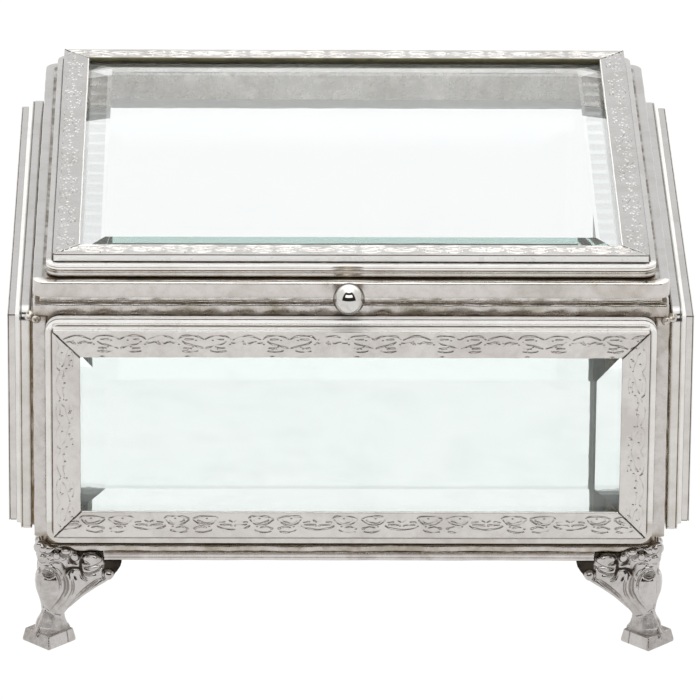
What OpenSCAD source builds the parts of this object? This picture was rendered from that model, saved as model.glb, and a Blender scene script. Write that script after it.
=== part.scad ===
// Square display casket: bevelled glass plates held in stamped silver-plated
// strips on a soldered skeleton, flat hinged lid, ball pull, four cast feet.
// Origin: centre of the four feet on the table. +Z up, the pull faces -Y.
// All sizes in millimetres.

/* [Skeleton] */
// Half of the width of the square skeleton, measured over the corner posts
skel_half = 80; // [70:0.5:95]
// Side of a square corner post
post_side = 4; // [3.2:0.1:4.4]
// Height of the underside of the bottom rail above the table
rail_z = 25.7; // [25.7:0.1:30]
// Height of the glazed walls, from bottom rail underside to body top
wall_rise = 68.35; // [60:0.5:90]

/* [Wall frames] */
// Width of the ornamented strip that laps over the glass
strip_w = 7; // [6.5:0.1:8]
// Thickness of the ornamented strip
strip_t = 2; // [1.6:0.1:2.2]
// Distance of the ornamented face in front of the skeleton
frame_proud = 6.5; // [6.3:0.1:6.8]
// Corner radius of the moulded frame behind the strips
bead_r = 3.6; // [2:0.1:4]

/* [Glass] */
// Thickness of a plate at its flat middle
glass_t = 3.9; // [3.6:0.1:4]
// Width of the bevel that shows inside the strips
bevel_w = 6.2; // [4:0.1:8]
// Fall of the bevel per millimetre of width
bevel_slope = 0.237; // [0.2:0.001:0.237]
// Thickness of the mirrored floor plate
floor_t = 2; // [1.6:0.1:4]

/* [Lid] */
// Height of the closed lid, from its underside to the top of the strips
lid_h = 10; // [9.8:0.1:11]
// Corner radius of the lid rail
lid_r = 3.5; // [1:0.1:4]
// Diameter of the ball pull
knob_d = 8; // [6:0.1:9]
// Distance of the ball pull from the middle of the lid, + is to the right
knob_x = -0.7; // [-5:0.1:5]

/* [Hinges] */
// Distance of each hinge from the middle of the back
hinge_x = 45; // [20:1:55]
// Length of one hinge
hinge_len = 22; // [16:1:28]
// Radius of the hinge pins
pin_r = 0.75; // [0.6:0.05:0.9]
// Radial clearance between a pin and its knuckles
pin_gap = 0.05; // [0.02:0.01:0.08]

/* [Feet] */
// Distance of each foot's base block from the middle lines of the casket
foot_at = 76.4; // [66:0.1:92]
// Side of the square base block
foot_block = 9.7; // [8:0.1:11]

/* [Hidden] */
$fn = 48;
eps = 0.02;
S = skel_half;

// wall frame levels and half widths
body_top = rail_z + wall_rise;      // 94.05, top of the body rail
post_z0 = rail_z + 4.9;             // 30.6
post_z1 = body_top - 3.45;          // 90.6
bead_x = S - 3.25;                  // 76.75
bead_z0 = rail_z + 4.4;             // 30.1
bead_z1 = body_top - 2.95;          // 91.1
cap_x = S - 5.1;                    // 74.9
cap_z0 = bead_z0 + 2.75;            // 32.85
cap_z1 = bead_z1 - 2.1;             // 89.0
sight_x = cap_x - strip_w;          // 67.9
sight_z0 = cap_z0 + strip_w + 0.2;  // 40.05
sight_z1 = cap_z1 - strip_w;        // 82.0
cap_p = frame_proud - strip_t;      // 4.5, back of the strips
glass_p1 = cap_p + bevel_w * bevel_slope; // 5.97, flat face of the glass
glass_p0 = glass_p1 - glass_t;      // 2.07, back of the glass
edge_in = 1.5;                      // glass edge inside the strip's edge
lip_x = cap_x - edge_in - 1;        // 72.4, opening of the lip behind the glass
lip_z0 = cap_z0 + edge_in + 1;      // 35.35
lip_z1 = cap_z1 - edge_in - 1;      // 86.5

// lid levels
lid_z0 = body_top + 1.55;           // 95.6
lid_z1 = lid_z0 + lid_h;            // 105.6
lid_deck = lid_z0 + 4.2;            // 99.8
lid_bead_x = S - 3.35;              // 76.65
lid_sight = cap_x - strip_w + 0.2;  // 68.1
lid_cap_z = lid_z1 - strip_t;       // 103.6
lid_glass_z1 = lid_cap_z + bevel_w * bevel_slope; // 105.07
lid_lip_z = lid_deck + 1.5;         // 101.3

// hinge
hy = S + 1.6;
hz = body_top + 0.75;               // 94.8
knuckle_r = 1.5;
third = hinge_len / 3;

silver = [0.80, 0.78, 0.75];
silver_dark = [0.66, 0.64, 0.60];
silver_bright = [0.86, 0.85, 0.83];
glass_c = [0.80, 0.90, 0.88, 0.4];

// ---------- helpers ----------

// rectangle from (x0,y0) to (x1,y1) with true round corners
module rbox2(x0, y0, x1, y1, r) {
  if (r <= 0.01) translate([x0, y0]) square([x1 - x0, y1 - y0]);
  else union() {
    translate([x0 + r, y0]) square([x1 - x0 - 2 * r, y1 - y0]);
    translate([x0, y0 + r]) square([x1 - x0, y1 - y0 - 2 * r]);
    for (x = [x0 + r, x1 - r], y = [y0 + r, y1 - r]) translate([x, y]) circle(r);
  }
}

// square ring around the middle, from z0 to z1
module ring(outer, r, inner, z0, z1) {
  translate([0, 0, z0]) linear_extrude(z1 - z0) difference() {
    rbox2(-outer, -outer, outer, outer, r);
    square(2 * inner, center = true);
  }
}

// outline drawn in the wall's own plane, made solid from p0 to p1 in front
// of the skeleton; drawn for the front wall
module slab(p0, p1) {
  translate([0, -(S + p0), 0]) rotate([90, 0, 0]) linear_extrude(p1 - p0) children();
}

// the four walls: 0 front, 1 right, 2 back, 3 left
module at_wall(k) { rotate([0, 0, 90 * k]) children(); }

// the four corners: 0 back right, 1 back left, 2 front left, 3 front right
module at_corner(k) { rotate([0, 0, 90 * k]) children(); }

// ---------- skeleton ----------

// bottom rail: a folded rail with a shelf for the floor plate, a rounded
// outer band that shows under the frames, and an upright flange behind them
module bottom_rail() color(silver_dark) union() {
  ring(S - 5.4 + eps, 0, S - 10, rail_z, rail_z + 0.8);
  ring(S - 1.4, 2.5, S - 5.4, rail_z, rail_z + 2);
  ring(S - 2.2, 2, S - 3.6, rail_z + 2 - eps, post_z0);
  difference() {
    ring(S, 0, S - 3.6, post_z0 - eps, post_z0 + 3.9);
    for (x = [-1, 1], y = [-1, 1])
      translate([x * (S - post_side / 2), y * (S - post_side / 2), post_z0 + 2])
        cube([post_side + 0.06, post_side + 0.06, 6], center = true);
  }
}

// top rail of the body, with the upstand that the closed lid sits over
module top_rail() color(silver_dark) union() {
  ring(S, 1.2, S - 3.6, post_z1, body_top);
  difference() {
    ring(S, 0, S - 3.6, post_z1 - 2.6, post_z1 + eps);
    for (x = [-1, 1], y = [-1, 1])
      translate([x * (S - post_side / 2), y * (S - post_side / 2), post_z1 - 3])
        cube([post_side + 0.06, post_side + 0.06, 6 - eps], center = true);
  }
  ring(S - 1.8, 1, S - 3.6, body_top - eps, body_top + 1.45);
}

module post() color(silver) union() {
  translate([S - post_side, S - post_side, post_z0]) linear_extrude(post_z1 - post_z0) union() {
    square([post_side, post_side - 0.7]);
    square([post_side - 0.7, post_side]);
    translate([post_side - 0.7, post_side - 0.7]) circle(0.7);
  }
}

// straight strip under each side of the bottom rail, between the feet
module base_strip() color(silver) translate([0, -(S - 1.4), 0]) rotate([90, 0, 90])
  translate([0, 0, -(S - 17.7)]) linear_extrude(2 * (S - 17.7))
    translate([0, rail_z - 2.5]) union() {
      translate([0, 0.3]) square([3, 2.2]);
      translate([0.3, 0]) square([2.7, 2.5]);
      translate([0.3, 0.3]) circle(0.3);
    }

module floor_mirror() color([0.85, 0.88, 0.88])
  translate([0, 0, rail_z + 0.8]) linear_extrude(floor_t)
    square(2 * (S - 5.5), center = true);

// ---------- wall frames ----------

// moulded frame: rear rebate, lip behind the glass, pocket for the glass,
// and the step that carries the ornamented strips
module wall_bead(lx) color(silver) union() {
  slab(0, 1) difference() {
    rbox2(-bead_x + 0.8, bead_z0 + 0.8, bead_x - 0.8, bead_z1 - 0.8, bead_r - 0.8);
    rbox2(-lx, lip_z0, lx, lip_z1, 0);
  }
  slab(1 - eps, glass_p0) difference() {
    rbox2(-bead_x, bead_z0, bead_x, bead_z1, bead_r);
    rbox2(-lx, lip_z0, lx, lip_z1, 0);
  }
  slab(glass_p0 - eps, cap_p - 1) difference() {
    rbox2(-bead_x, bead_z0, bead_x, bead_z1, bead_r);
    rbox2(-cap_x + edge_in - 0.1, cap_z0 + edge_in - 0.1, cap_x - edge_in + 0.1, cap_z1 - edge_in + 0.1, 0);
  }
  slab(cap_p - 1 - eps, cap_p) difference() {
    rbox2(-cap_x, cap_z0, cap_x, cap_z1, 0);
    rbox2(-cap_x + edge_in - 0.1, cap_z0 + edge_in - 0.1, cap_x - edge_in + 0.1, cap_z1 - edge_in + 0.1, 0);
  }
}

// mitred strips; the bevel of the glass starts under them
module strip_top() color(silver_bright) slab(cap_p, frame_proud)
  polygon([[-cap_x, cap_z1], [cap_x, cap_z1], [sight_x, sight_z1], [-sight_x, sight_z1]]);
module strip_bottom() color(silver_bright) slab(cap_p, frame_proud)
  polygon([[-cap_x, cap_z0], [cap_x, cap_z0], [sight_x, sight_z0], [-sight_x, sight_z0]]);
// as seen from outside: side = -1 left, +1 right
module strip_side(side) color(silver_bright) slab(cap_p, frame_proud)
  polygon([[side * cap_x, cap_z0], [side * cap_x, cap_z1], [side * sight_x, sight_z1], [side * sight_x, sight_z0]]);

// section of a bevelled plate from a to b, standing from t0 to t1
function bevelled(a, b, sa, sb, t0, t1) = [
  [a, t0], [b, t0],
  [b, t1 - (b - (sb - bevel_w)) * bevel_slope], [sb - bevel_w, t1],
  [sa + bevel_w, t1], [a, t1 - ((sa + bevel_w) - a) * bevel_slope]
];

// wall plate: the same bevel on all four sides, mitred in the corners
module wall_glass() color(glass_c) translate([0, -S, 0]) intersection() {
  translate([0, 0, cap_z0]) linear_extrude(cap_z1 - cap_z0) mirror([0, 1])
    polygon(bevelled(-cap_x + edge_in, cap_x - edge_in, -sight_x, sight_x, glass_p0, glass_p1));
  translate([-cap_x, 0, 0]) rotate([90, 0, 90]) linear_extrude(2 * cap_x) mirror([1, 0])
    polygon([for (q = bevelled(cap_z0 + edge_in, cap_z1 - edge_in, sight_z0, sight_z1, glass_p0, glass_p1)) [q[1], q[0]]]);
}

// ---------- feet ----------

leg_prof = [[0, 3.2], [3.7, 3.2], [3.1, 4.6], [2.6, 7], [2.6, 9], [3.2, 12],
            [4.1, 16], [4.6, 20], [4.6, 23], [4.3, 25.7], [0, 25.7]];
wing_prof = [[79.2, 15.5], [79.7, 19], [79.7, 25.7], [62.6, 25.7], [62.6, 23], [58.3, 23],
             [57.9, 21.8], [59.3, 20.1], [62.5, 17.4], [66.6, 14.2], [70.7, 9.4], [72.6, 7],
             [75.5, 7], [77.4, 9.5]];
lobe_prof = [[79.6, 20], [79.7, 29.2], [74.5, 29.2], [72, 28], [70.5, 26.4], [68.5, 25.6],
             [68.5, 22], [73, 20]];
foot_dz = rail_z - 25.7;

// cast foot: base block set square to the corner, cabriole leg, and one
// wing along each wall with a shell edge that covers the end of the rail
module foot() color(silver_bright) translate([S - 80, S - 80, 0]) union() {
  translate([foot_at + 80 - S, foot_at + 80 - S, 0]) rotate([0, 0, 45]) union() {
    translate([-foot_block / 2, -foot_block / 2, 0]) cube([foot_block, foot_block, 1.3]);
    translate([-foot_block / 2 + 0.35, -foot_block / 2 + 0.35, 1.3 - eps])
      cube([foot_block - 0.7, foot_block - 0.7, 2 + eps]);
  }
  translate([75, 75, 0]) rotate_extrude()
    polygon([for (q = leg_prof) [q[0], q[1] > 20 ? q[1] + foot_dz : q[1]]]);
  for (m = [0, 1]) mirror([m, -m, 0]) {
    translate([0, 79.9, 0]) rotate([90, 0, 0]) linear_extrude(4.1)
      polygon([for (q = wing_prof) [q[0], q[1] > 22.9 ? q[1] + foot_dz : q[1]]]);
    translate([0, 80, 0]) rotate([90, 0, 0]) linear_extrude(1.35)
      polygon([for (q = lobe_prof) [q[0], q[1] > 25 ? q[1] + foot_dz : q[1]]]);
  }
}

// ---------- hinges ----------

module knuckle(x0, x1) translate([x0, hy, hz]) rotate([0, 90, 0]) cylinder(r = knuckle_r, h = x1 - x0);
module bore() translate([-hinge_len, hy, hz]) rotate([0, 90, 0]) cylinder(r = pin_r + pin_gap, h = 2 * hinge_len);

module leaf_body() color(silver_dark) difference() {
  union() {
    translate([-hinge_len / 2, S, bead_z1 + 0.2]) cube([hinge_len, 0.7, 1.9]);
    for (s = [-1, 1]) {
      a = s < 0 ? -hinge_len / 2 : hinge_len / 2 - third;
      translate([a, S, hz - 2]) cube([third, 0.7, 2]);
      knuckle(a, a + third);
    }
  }
  bore();
}

module leaf_lid() color(silver_dark) difference() {
  union() {
    translate([-hinge_len / 2, S, hz + 1.7]) cube([hinge_len, 0.7, 2.5]);
    translate([-third / 2 + 0.2, S, hz]) cube([third - 0.4, 0.7, 2]);
    knuckle(-third / 2 + 0.2, third / 2 - 0.2);
  }
  bore();
}

module hinge_pins() color(silver_bright) for (s = [-1, 1])
  translate([s * hinge_x - hinge_len / 2, hy, hz]) rotate([0, 90, 0]) union() {
    translate([0, 0, -0.4]) cylinder(r = pin_r, h = hinge_len + 0.8);
    translate([0, 0, -0.65]) cylinder(r = 1.1, h = 0.6);
    translate([0, 0, hinge_len + 0.05]) cylinder(r = 1.1, h = 0.6);
  }

// ---------- lid ----------

// rail of the lid: outer bar that closes over the upstand, and the deck
// that the moulded frame stands on; one hole for the shank of the pull
module lid_rail() color(silver) difference() {
  union() {
    ring(S - 0.5, lid_r - 0.5, S - 3.4, lid_deck - 0.5, lid_deck);
    ring(S, lid_r, S - 3.4, lid_z0, lid_deck - 0.5 + eps);
    ring(S - 3.3, 0, S - 9.4, lid_deck - 0.9, lid_deck);
  }
  translate([knob_x, -S + 6, lid_z0 + 1.9]) rotate([90, 0, 0]) cylinder(r = 0.85, h = 10);
}

module lid_bead() color(silver) union() {
  ring(lid_bead_x - 0.7, bead_r - 0.7, S - 9.4, lid_deck, lid_deck + 0.6);
  ring(lid_bead_x, bead_r, S - 9.4, lid_deck + 0.6 - eps, lid_lip_z);
  ring(lid_bead_x, bead_r, cap_x - edge_in + 0.1, lid_lip_z - eps, lid_z1 - 2.7);
  ring(cap_x, 0, cap_x - edge_in + 0.1, lid_z1 - 2.7 - eps, lid_cap_z);
}

module lid_strip() color(silver_bright) translate([0, 0, lid_cap_z]) linear_extrude(strip_t)
  polygon([[-cap_x, -cap_x], [cap_x, -cap_x], [lid_sight, -lid_sight], [-lid_sight, -lid_sight]]);

module lid_glass() color(glass_c) intersection() {
  translate([-cap_x, 0, 0]) rotate([90, 0, 90]) linear_extrude(2 * cap_x)
    polygon(bevelled(-cap_x + edge_in, cap_x - edge_in, -lid_sight, lid_sight, lid_lip_z, lid_glass_z1));
  rotate([0, 0, 90]) translate([-cap_x, 0, 0]) rotate([90, 0, 90]) linear_extrude(2 * cap_x)
    polygon(bevelled(-cap_x + edge_in, cap_x - edge_in, -lid_sight, lid_sight, lid_lip_z, lid_glass_z1));
}

// ball pull with a short neck; its shank passes through the lid rail and is
// peened over inside
module knob() color(silver_bright) translate([knob_x, -S, lid_z0 + 1.9]) union() {
  translate([0, -1 - knob_d / 2, 0]) sphere(r = knob_d / 2, $fn = 64);
  rotate([90, 0, 0]) rotate_extrude()
    polygon([[0, -3.85], [1.15, -3.85], [1.2, -3.45], [0.8, -3.45], [0.8, 0], [2.1, 0], [1.7, 0.6], [1.5, 1.6], [0, 1.6]]);
}

// ---------- parts ----------

bottom_rail();
top_rail();
at_corner(2) post();  // post_front_left
at_corner(3) post();  // post_front_right
at_corner(1) post();  // post_back_left
at_corner(0) post();  // post_back_right
at_wall(0) base_strip();  // base_strip_front
at_wall(1) base_strip();  // base_strip_right
at_wall(2) base_strip();  // base_strip_back
at_wall(3) base_strip();  // base_strip_left
floor_mirror();

at_wall(0) wall_bead(lip_x);  // front_bead
at_wall(1) wall_bead(lip_x);  // right_bead
at_wall(2) wall_bead(lip_x);  // back_bead
at_wall(3) wall_bead(lip_x);  // left_bead

at_wall(0) wall_glass();  // front_glass
at_wall(1) wall_glass();  // right_glass
at_wall(2) wall_glass();  // back_glass
at_wall(3) wall_glass();  // left_glass

at_wall(0) strip_top();  // front_strip_top
at_wall(0) strip_bottom();  // front_strip_bottom
at_wall(0) strip_side(-1);  // front_strip_left
at_wall(0) strip_side(1);  // front_strip_right
at_wall(1) strip_top();  // right_strip_top
at_wall(1) strip_bottom();  // right_strip_bottom
at_wall(1) strip_side(-1);  // right_strip_left
at_wall(1) strip_side(1);  // right_strip_right
at_wall(2) strip_top();  // back_strip_top
at_wall(2) strip_bottom();  // back_strip_bottom
at_wall(2) strip_side(-1);  // back_strip_left
at_wall(2) strip_side(1);  // back_strip_right
at_wall(3) strip_top();  // left_strip_top
at_wall(3) strip_bottom();  // left_strip_bottom
at_wall(3) strip_side(-1);  // left_strip_left
at_wall(3) strip_side(1);  // left_strip_right

at_corner(2) foot();  // foot_front_left
at_corner(3) foot();  // foot_front_right
at_corner(1) foot();  // foot_back_left
at_corner(0) foot();  // foot_back_right

translate([-hinge_x, 0, 0]) leaf_body();  // hinge_leaf_body_left
translate([hinge_x, 0, 0]) leaf_body();  // hinge_leaf_body_right
hinge_pins();

lid_rail();
lid_bead();
at_wall(0) lid_strip();  // lid_strip_front
at_wall(1) lid_strip();  // lid_strip_right
at_wall(2) lid_strip();  // lid_strip_back
at_wall(3) lid_strip();  // lid_strip_left
lid_glass();
knob();
translate([-hinge_x, 0, 0]) leaf_lid();  // hinge_leaf_lid_left
translate([hinge_x, 0, 0]) leaf_lid();  // hinge_leaf_lid_right
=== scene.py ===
import bpy
import bmesh
import math
import numpy as np
from mathutils import Matrix, Vector


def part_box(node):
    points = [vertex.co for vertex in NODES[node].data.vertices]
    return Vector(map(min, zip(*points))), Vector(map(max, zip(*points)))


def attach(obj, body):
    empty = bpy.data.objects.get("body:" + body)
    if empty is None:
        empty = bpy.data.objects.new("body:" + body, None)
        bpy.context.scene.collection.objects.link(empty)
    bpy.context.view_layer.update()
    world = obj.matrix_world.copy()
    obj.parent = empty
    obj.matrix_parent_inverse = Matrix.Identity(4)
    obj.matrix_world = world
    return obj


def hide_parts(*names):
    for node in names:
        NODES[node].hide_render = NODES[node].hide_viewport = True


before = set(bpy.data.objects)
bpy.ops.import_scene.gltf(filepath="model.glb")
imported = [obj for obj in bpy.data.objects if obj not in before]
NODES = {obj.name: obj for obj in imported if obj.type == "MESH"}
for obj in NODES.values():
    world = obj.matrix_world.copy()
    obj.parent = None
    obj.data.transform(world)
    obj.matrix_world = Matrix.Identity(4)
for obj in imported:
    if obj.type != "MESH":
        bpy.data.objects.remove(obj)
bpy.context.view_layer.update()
S = 80.0            # half width of the skeleton, mm

# ------------------------------------------------------------------ mesh tools


def wob(P, scale, seed):
    """Smooth pseudo-random field of about -1..1 on points in mm."""
    rng = np.random.RandomState(seed)
    out = np.zeros(len(P))
    for k in range(7):
        d = rng.normal(size=3)
        d /= np.linalg.norm(d)
        w = 2 * math.pi / (scale * (0.6 + 0.9 * rng.rand()))
        out += np.sin(P @ d * w + rng.rand() * 6.28)
    return out / 3.2


def build(name, V, F, mat, body, replaces=(), grime_and_painted_light=None, sharp=38, wobble=0.0, wscale=6.0, seed=1):
    V = np.asarray(V, float)
    me = bpy.data.meshes.new(name)
    me.from_pydata((V * 0.001).tolist(), [], [list(map(int, f)) for f in F])
    me.validate(clean_customdata=False)
    bm = bmesh.new()
    bm.from_mesh(me)
    bmesh.ops.recalc_face_normals(bm, faces=bm.faces[:])
    if bm.calc_volume(signed=True) < 0:
        bmesh.ops.reverse_faces(bm, faces=bm.faces[:])
    bm.to_mesh(me)
    bm.free()
    if wobble > 0:
        co = np.zeros(len(me.vertices) * 3)
        me.vertices.foreach_get("co", co)
        no = np.zeros(len(me.vertices) * 3)
        me.vertices.foreach_get("normal", no)
        co = co.reshape(-1, 3)
        no = no.reshape(-1, 3)
        # inwards only, so the piece stays inside its solid
        w = 0.5 * (wob(co * 1000, wscale, seed) - 1.0)
        co += no * (np.clip(w, -1, 0) * wobble * 0.001)[:, None]
        me.vertices.foreach_set("co", co.ravel())
    if grime_and_painted_light is not None and len(grime_and_painted_light) == len(me.vertices):
        a = me.attributes.new("grime_and_painted_light", "FLOAT", "POINT")
        a.data.foreach_set("value", np.asarray(grime_and_painted_light, np.float32))
    me.polygons.foreach_set("use_smooth", [True] * len(me.polygons))
    me.set_sharp_from_angle(angle=math.radians(sharp))
    me.update()
    ob = bpy.data.objects.new(name, me)
    bpy.context.scene.collection.objects.link(ob)
    ob.data.materials.append(mat)
    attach(ob, body)
    if replaces:
        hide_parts(*replaces)
    return ob


def rr(x0, x1, y0, y1, r, K=9, N1=150, N2=60):
    """Points around a rectangle with round corners, the same count for every size."""
    cs = [(x1 - r, y1 - r, 0.0), (x0 + r, y1 - r, 90.0), (x0 + r, y0 + r, 180.0), (x1 - r, y0 + r, 270.0)]
    pts = []
    for i, (cx, cy, a0) in enumerate(cs):
        arc = [(cx + r * math.cos(math.radians(a0 + 90.0 * k / K)), cy + r * math.sin(math.radians(a0 + 90.0 * k / K))) for k in range(K + 1)]
        nx, ny, na = cs[(i + 1) % 4]
        p1 = (nx + r * math.cos(math.radians(na)), ny + r * math.sin(math.radians(na)))
        pts += arc
        p0 = arc[-1]
        N = N1 if i % 2 == 0 else N2
        for k in range(1, N):
            t = k / N
            pts.append((p0[0] + (p1[0] - p0[0]) * t, p0[1] + (p1[1] - p0[1]) * t))
    return np.array(pts)


def ring(profile, N1=150, N2=60, place=None):
    """profile: closed loop of (x0, x1, y0, y1, r, p, tarnish with painted shade above 0 and painted highlight below 0).
    place maps (a, b, p) arrays to points.
    """
    V, D = [], []
    for (x0, x1, y0, y1, r, p, di) in profile:
        q = rr(x0, x1, y0, y1, max(r, 0.02), N1=N1, N2=N2)
        V.append(place(q[:, 0], q[:, 1], np.full(len(q), p)))
        D.append(np.full(len(q), di))
    n = len(V[0])
    m = len(V)
    V = np.concatenate(V)
    D = np.concatenate(D)
    i = np.arange(n)
    F = []
    for j in range(m):
        a = j * n
        b = ((j + 1) % m) * n
        F.append(np.stack([a + i, a + (i + 1) % n, b + (i + 1) % n, b + i], 1))
    return V, np.concatenate(F), D


def wall_place(k):
    """Front wall's (x, z, p) to the row frame, turned by k quarter turns."""
    c, s = [(1, 0), (0, 1), (-1, 0), (0, -1)][k]

    def f(a, b, p):
        x = a
        y = -(S + p)
        return np.stack([c * x - s * y, s * x + c * y, b], 1)
    return f


def lid_place(k):
    """Lid strip's (x, distance to the front from the middle, height)."""
    c, s = [(1, 0), (0, 1), (-1, 0), (0, -1)][k]

    def f(a, b, p):
        x = a
        y = -b
        return np.stack([c * x - s * y, s * x + c * y, p], 1)
    return f


def flat_place(a, b, p):
    return np.stack([a, b, p], 1)


WALLS = {"front": 0, "right": 1, "back": 2, "left": 3}

# ------------------------------------------------------------------ materials


class Tree:
    def __init__(self, name):
        self.mat = bpy.data.materials.new(name)
        self.mat.use_nodes = True
        self.nt = self.mat.node_tree
        self.nt.nodes.clear()
        self.out = self.nt.nodes.new("ShaderNodeOutputMaterial")
        self.bsdf = self.nt.nodes.new("ShaderNodeBsdfPrincipled")
        self.nt.links.new(self.bsdf.outputs[0], self.out.inputs[0])

    def node(self, kind, **kw):
        n = self.nt.nodes.new(kind)
        for k, v in kw.items():
            setattr(n, k, v)
        return n

    def link(self, a, b):
        self.nt.links.new(a, b)

    def noise(self, vec, scale, detail=3.0, rough=0.55, dist=0.0):
        n = self.node("ShaderNodeTexNoise")
        self.link(vec, n.inputs["Vector"])
        n.inputs["Scale"].default_value = scale
        n.inputs["Detail"].default_value = detail
        n.inputs["Roughness"].default_value = rough
        n.inputs["Distortion"].default_value = dist
        return n.outputs["Fac"]

    def ramp(self, fac, stops):
        n = self.node("ShaderNodeValToRGB")
        self.link(fac, n.inputs["Fac"])
        e = n.color_ramp.elements
        while len(e) > 1:
            e.remove(e[-1])
        e[0].position = stops[0][0]
        e[0].color = stops[0][1]
        for pos, col in stops[1:]:
            x = e.new(pos)
            x.color = col
        return n.outputs["Color"]

    def rng(self, fac, a, b, c, d):
        n = self.node("ShaderNodeMapRange")
        self.link(fac, n.inputs["Value"])
        n.inputs["From Min"].default_value = a
        n.inputs["From Max"].default_value = b
        n.inputs["To Min"].default_value = c
        n.inputs["To Max"].default_value = d
        return n.outputs["Result"]

    def math(self, op, a, b=None, clamp=False):
        n = self.node("ShaderNodeMath", operation=op)
        n.use_clamp = clamp
        for i, v in enumerate((a, b)):
            if v is None:
                continue
            if isinstance(v, (int, float)):
                n.inputs[i].default_value = v
            else:
                self.link(v, n.inputs[i])
        return n.outputs[0]

    def mix(self, fac, a, b, blend="MIX"):
        n = self.node("ShaderNodeMix", data_type="RGBA", blend_type=blend)
        if isinstance(fac, (int, float)):
            n.inputs[0].default_value = fac
        else:
            self.link(fac, n.inputs[0])
        for i, v in ((6, a), (7, b)):
            if isinstance(v, tuple):
                n.inputs[i].default_value = v
            else:
                self.link(v, n.inputs[i])
        return n.outputs[2]


def C(r, g, b):
    return (r, g, b, 1.0)


def silver(name, light, dark, grime_and_shade_color=(0.225, 0.16, 0.09), rough=(0.13, 0.26), blotch=110.0, blotch_amt=(0.46, 0.66),
           grime_and_shade_gain=1.0, bump=0.10, fine=1500.0, streak=(1, 1, 1), stain=0.0, painted_highlight_color=(0.89, 0.875, 0.85), metal=1.0, painted_rim_shade=False):
    """Old silver plate: light metal with darker cloudy patches and fine wear. The per-vertex attribute
    adds brown tarnish and painted shade where it is above 0, and painted highlight (lighter metal) where it is below 0."""
    t = Tree(name)
    tc = t.node("ShaderNodeTexCoord").outputs["Object"]
    mp = t.node("ShaderNodeMapping")
    t.link(tc, mp.inputs["Vector"])
    mp.inputs["Scale"].default_value = streak
    vec = mp.outputs["Vector"]
    n1 = t.noise(vec, blotch, 4.0, 0.6, 0.6)
    n2 = t.noise(vec, blotch * 5.3, 3.0, 0.6)
    n3 = t.noise(tc, fine, 2.0, 0.5)
    a = t.rng(n1, blotch_amt[0], blotch_amt[1], 0.0, 1.0)
    a2 = t.math("MULTIPLY", t.rng(n2, 0.45, 0.75, 0.0, 1.0), 0.45)
    cl = t.math("ADD", a, a2, clamp=True)
    col = t.mix(cl, C(*light), C(*dark))
    at = t.node("ShaderNodeAttribute", attribute_name="grime_and_painted_light")
    dn = t.rng(n2, 0.25, 0.75, 0.55, 1.25)
    df = t.math("MULTIPLY", t.math("MULTIPLY", at.outputs["Fac"], dn), grime_and_shade_gain, clamp=True)
    # painted highlight: below 0 the colour is lightened towards the light colour
    painted_highlight = t.math("MULTIPLY", t.math("MULTIPLY", at.outputs["Fac"], -1.0), t.rng(n1, 0.3, 0.7, 1.1, 0.75), clamp=True)
    col = t.mix(painted_highlight, col, C(*painted_highlight_color))
    if stain:
        st = t.rng(t.noise(vec, blotch * 0.55, 2.0, 0.5, 1.5), 0.60, 0.72, 0.0, stain)
        df = t.math("MAXIMUM", df, st)
    # above 0 the colour is darkened towards the brown colour: tarnish, and painted shade in gaps and recesses
    col = t.mix(df, col, C(*grime_and_shade_color))
    if painted_rim_shade:
        # painted shade: the polished ball is darkened towards its outline, in place of the dark surroundings it
        # reflects there
        lw = t.node("ShaderNodeLayerWeight")
        lw.inputs["Blend"].default_value = 0.5
        col = t.mix(t.rng(lw.outputs["Facing"], 0.50, 0.72, 0.0, 0.92), col, C(0.10, 0.08, 0.065))
    t.link(col, t.bsdf.inputs["Base Color"])
    t.bsdf.inputs["Metallic"].default_value = metal
    r = t.rng(n2, 0.3, 0.7, rough[0], rough[1])
    r = t.math("ADD", r, t.math("MULTIPLY", df, 0.25), clamp=True)
    t.link(r, t.bsdf.inputs["Roughness"])
    b = t.node("ShaderNodeBump")
    b.inputs["Strength"].default_value = bump
    b.inputs["Distance"].default_value = 0.0002
    hb = t.math("ADD", t.math("MULTIPLY", n2, 0.7), t.math("MULTIPLY", n3, 0.3))
    t.link(hb, b.inputs["Height"])
    t.link(b.outputs["Normal"], t.bsdf.inputs["Normal"])
    return t.mat


def glass(name, tint, bump=0.02):
    t = Tree(name)
    tc = t.node("ShaderNodeTexCoord").outputs["Object"]
    n1 = t.noise(tc, 35.0, 2.0, 0.5)
    n2 = t.noise(tc, 700.0, 3.0, 0.6)
    col = t.mix(t.rng(n1, 0.35, 0.65, 0.0, 1.0), C(*tint), C(min(1, tint[0] + 0.012), min(1, tint[1] + 0.006), min(1, tint[2] + 0.008)))
    t.link(col, t.bsdf.inputs["Base Color"])
    t.link(t.rng(n2, 0.60, 0.9, 0.0, 0.03), t.bsdf.inputs["Roughness"])
    t.bsdf.inputs["Transmission Weight"].default_value = 1.0
    t.bsdf.inputs["IOR"].default_value = 1.5
    b = t.node("ShaderNodeBump")
    b.inputs["Strength"].default_value = bump
    b.inputs["Distance"].default_value = 0.0004
    t.link(n1, b.inputs["Height"])
    t.link(b.outputs["Normal"], t.bsdf.inputs["Normal"])
    # a plate is green along its length, as ordinary glass is
    v = t.node("ShaderNodeVolumeAbsorption")
    v.inputs["Color"].default_value = (0.74, 0.82, 0.80, 1.0)
    v.inputs["Density"].default_value = 22.0
    t.link(v.outputs[0], t.out.inputs["Volume"])
    return t.mat


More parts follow.
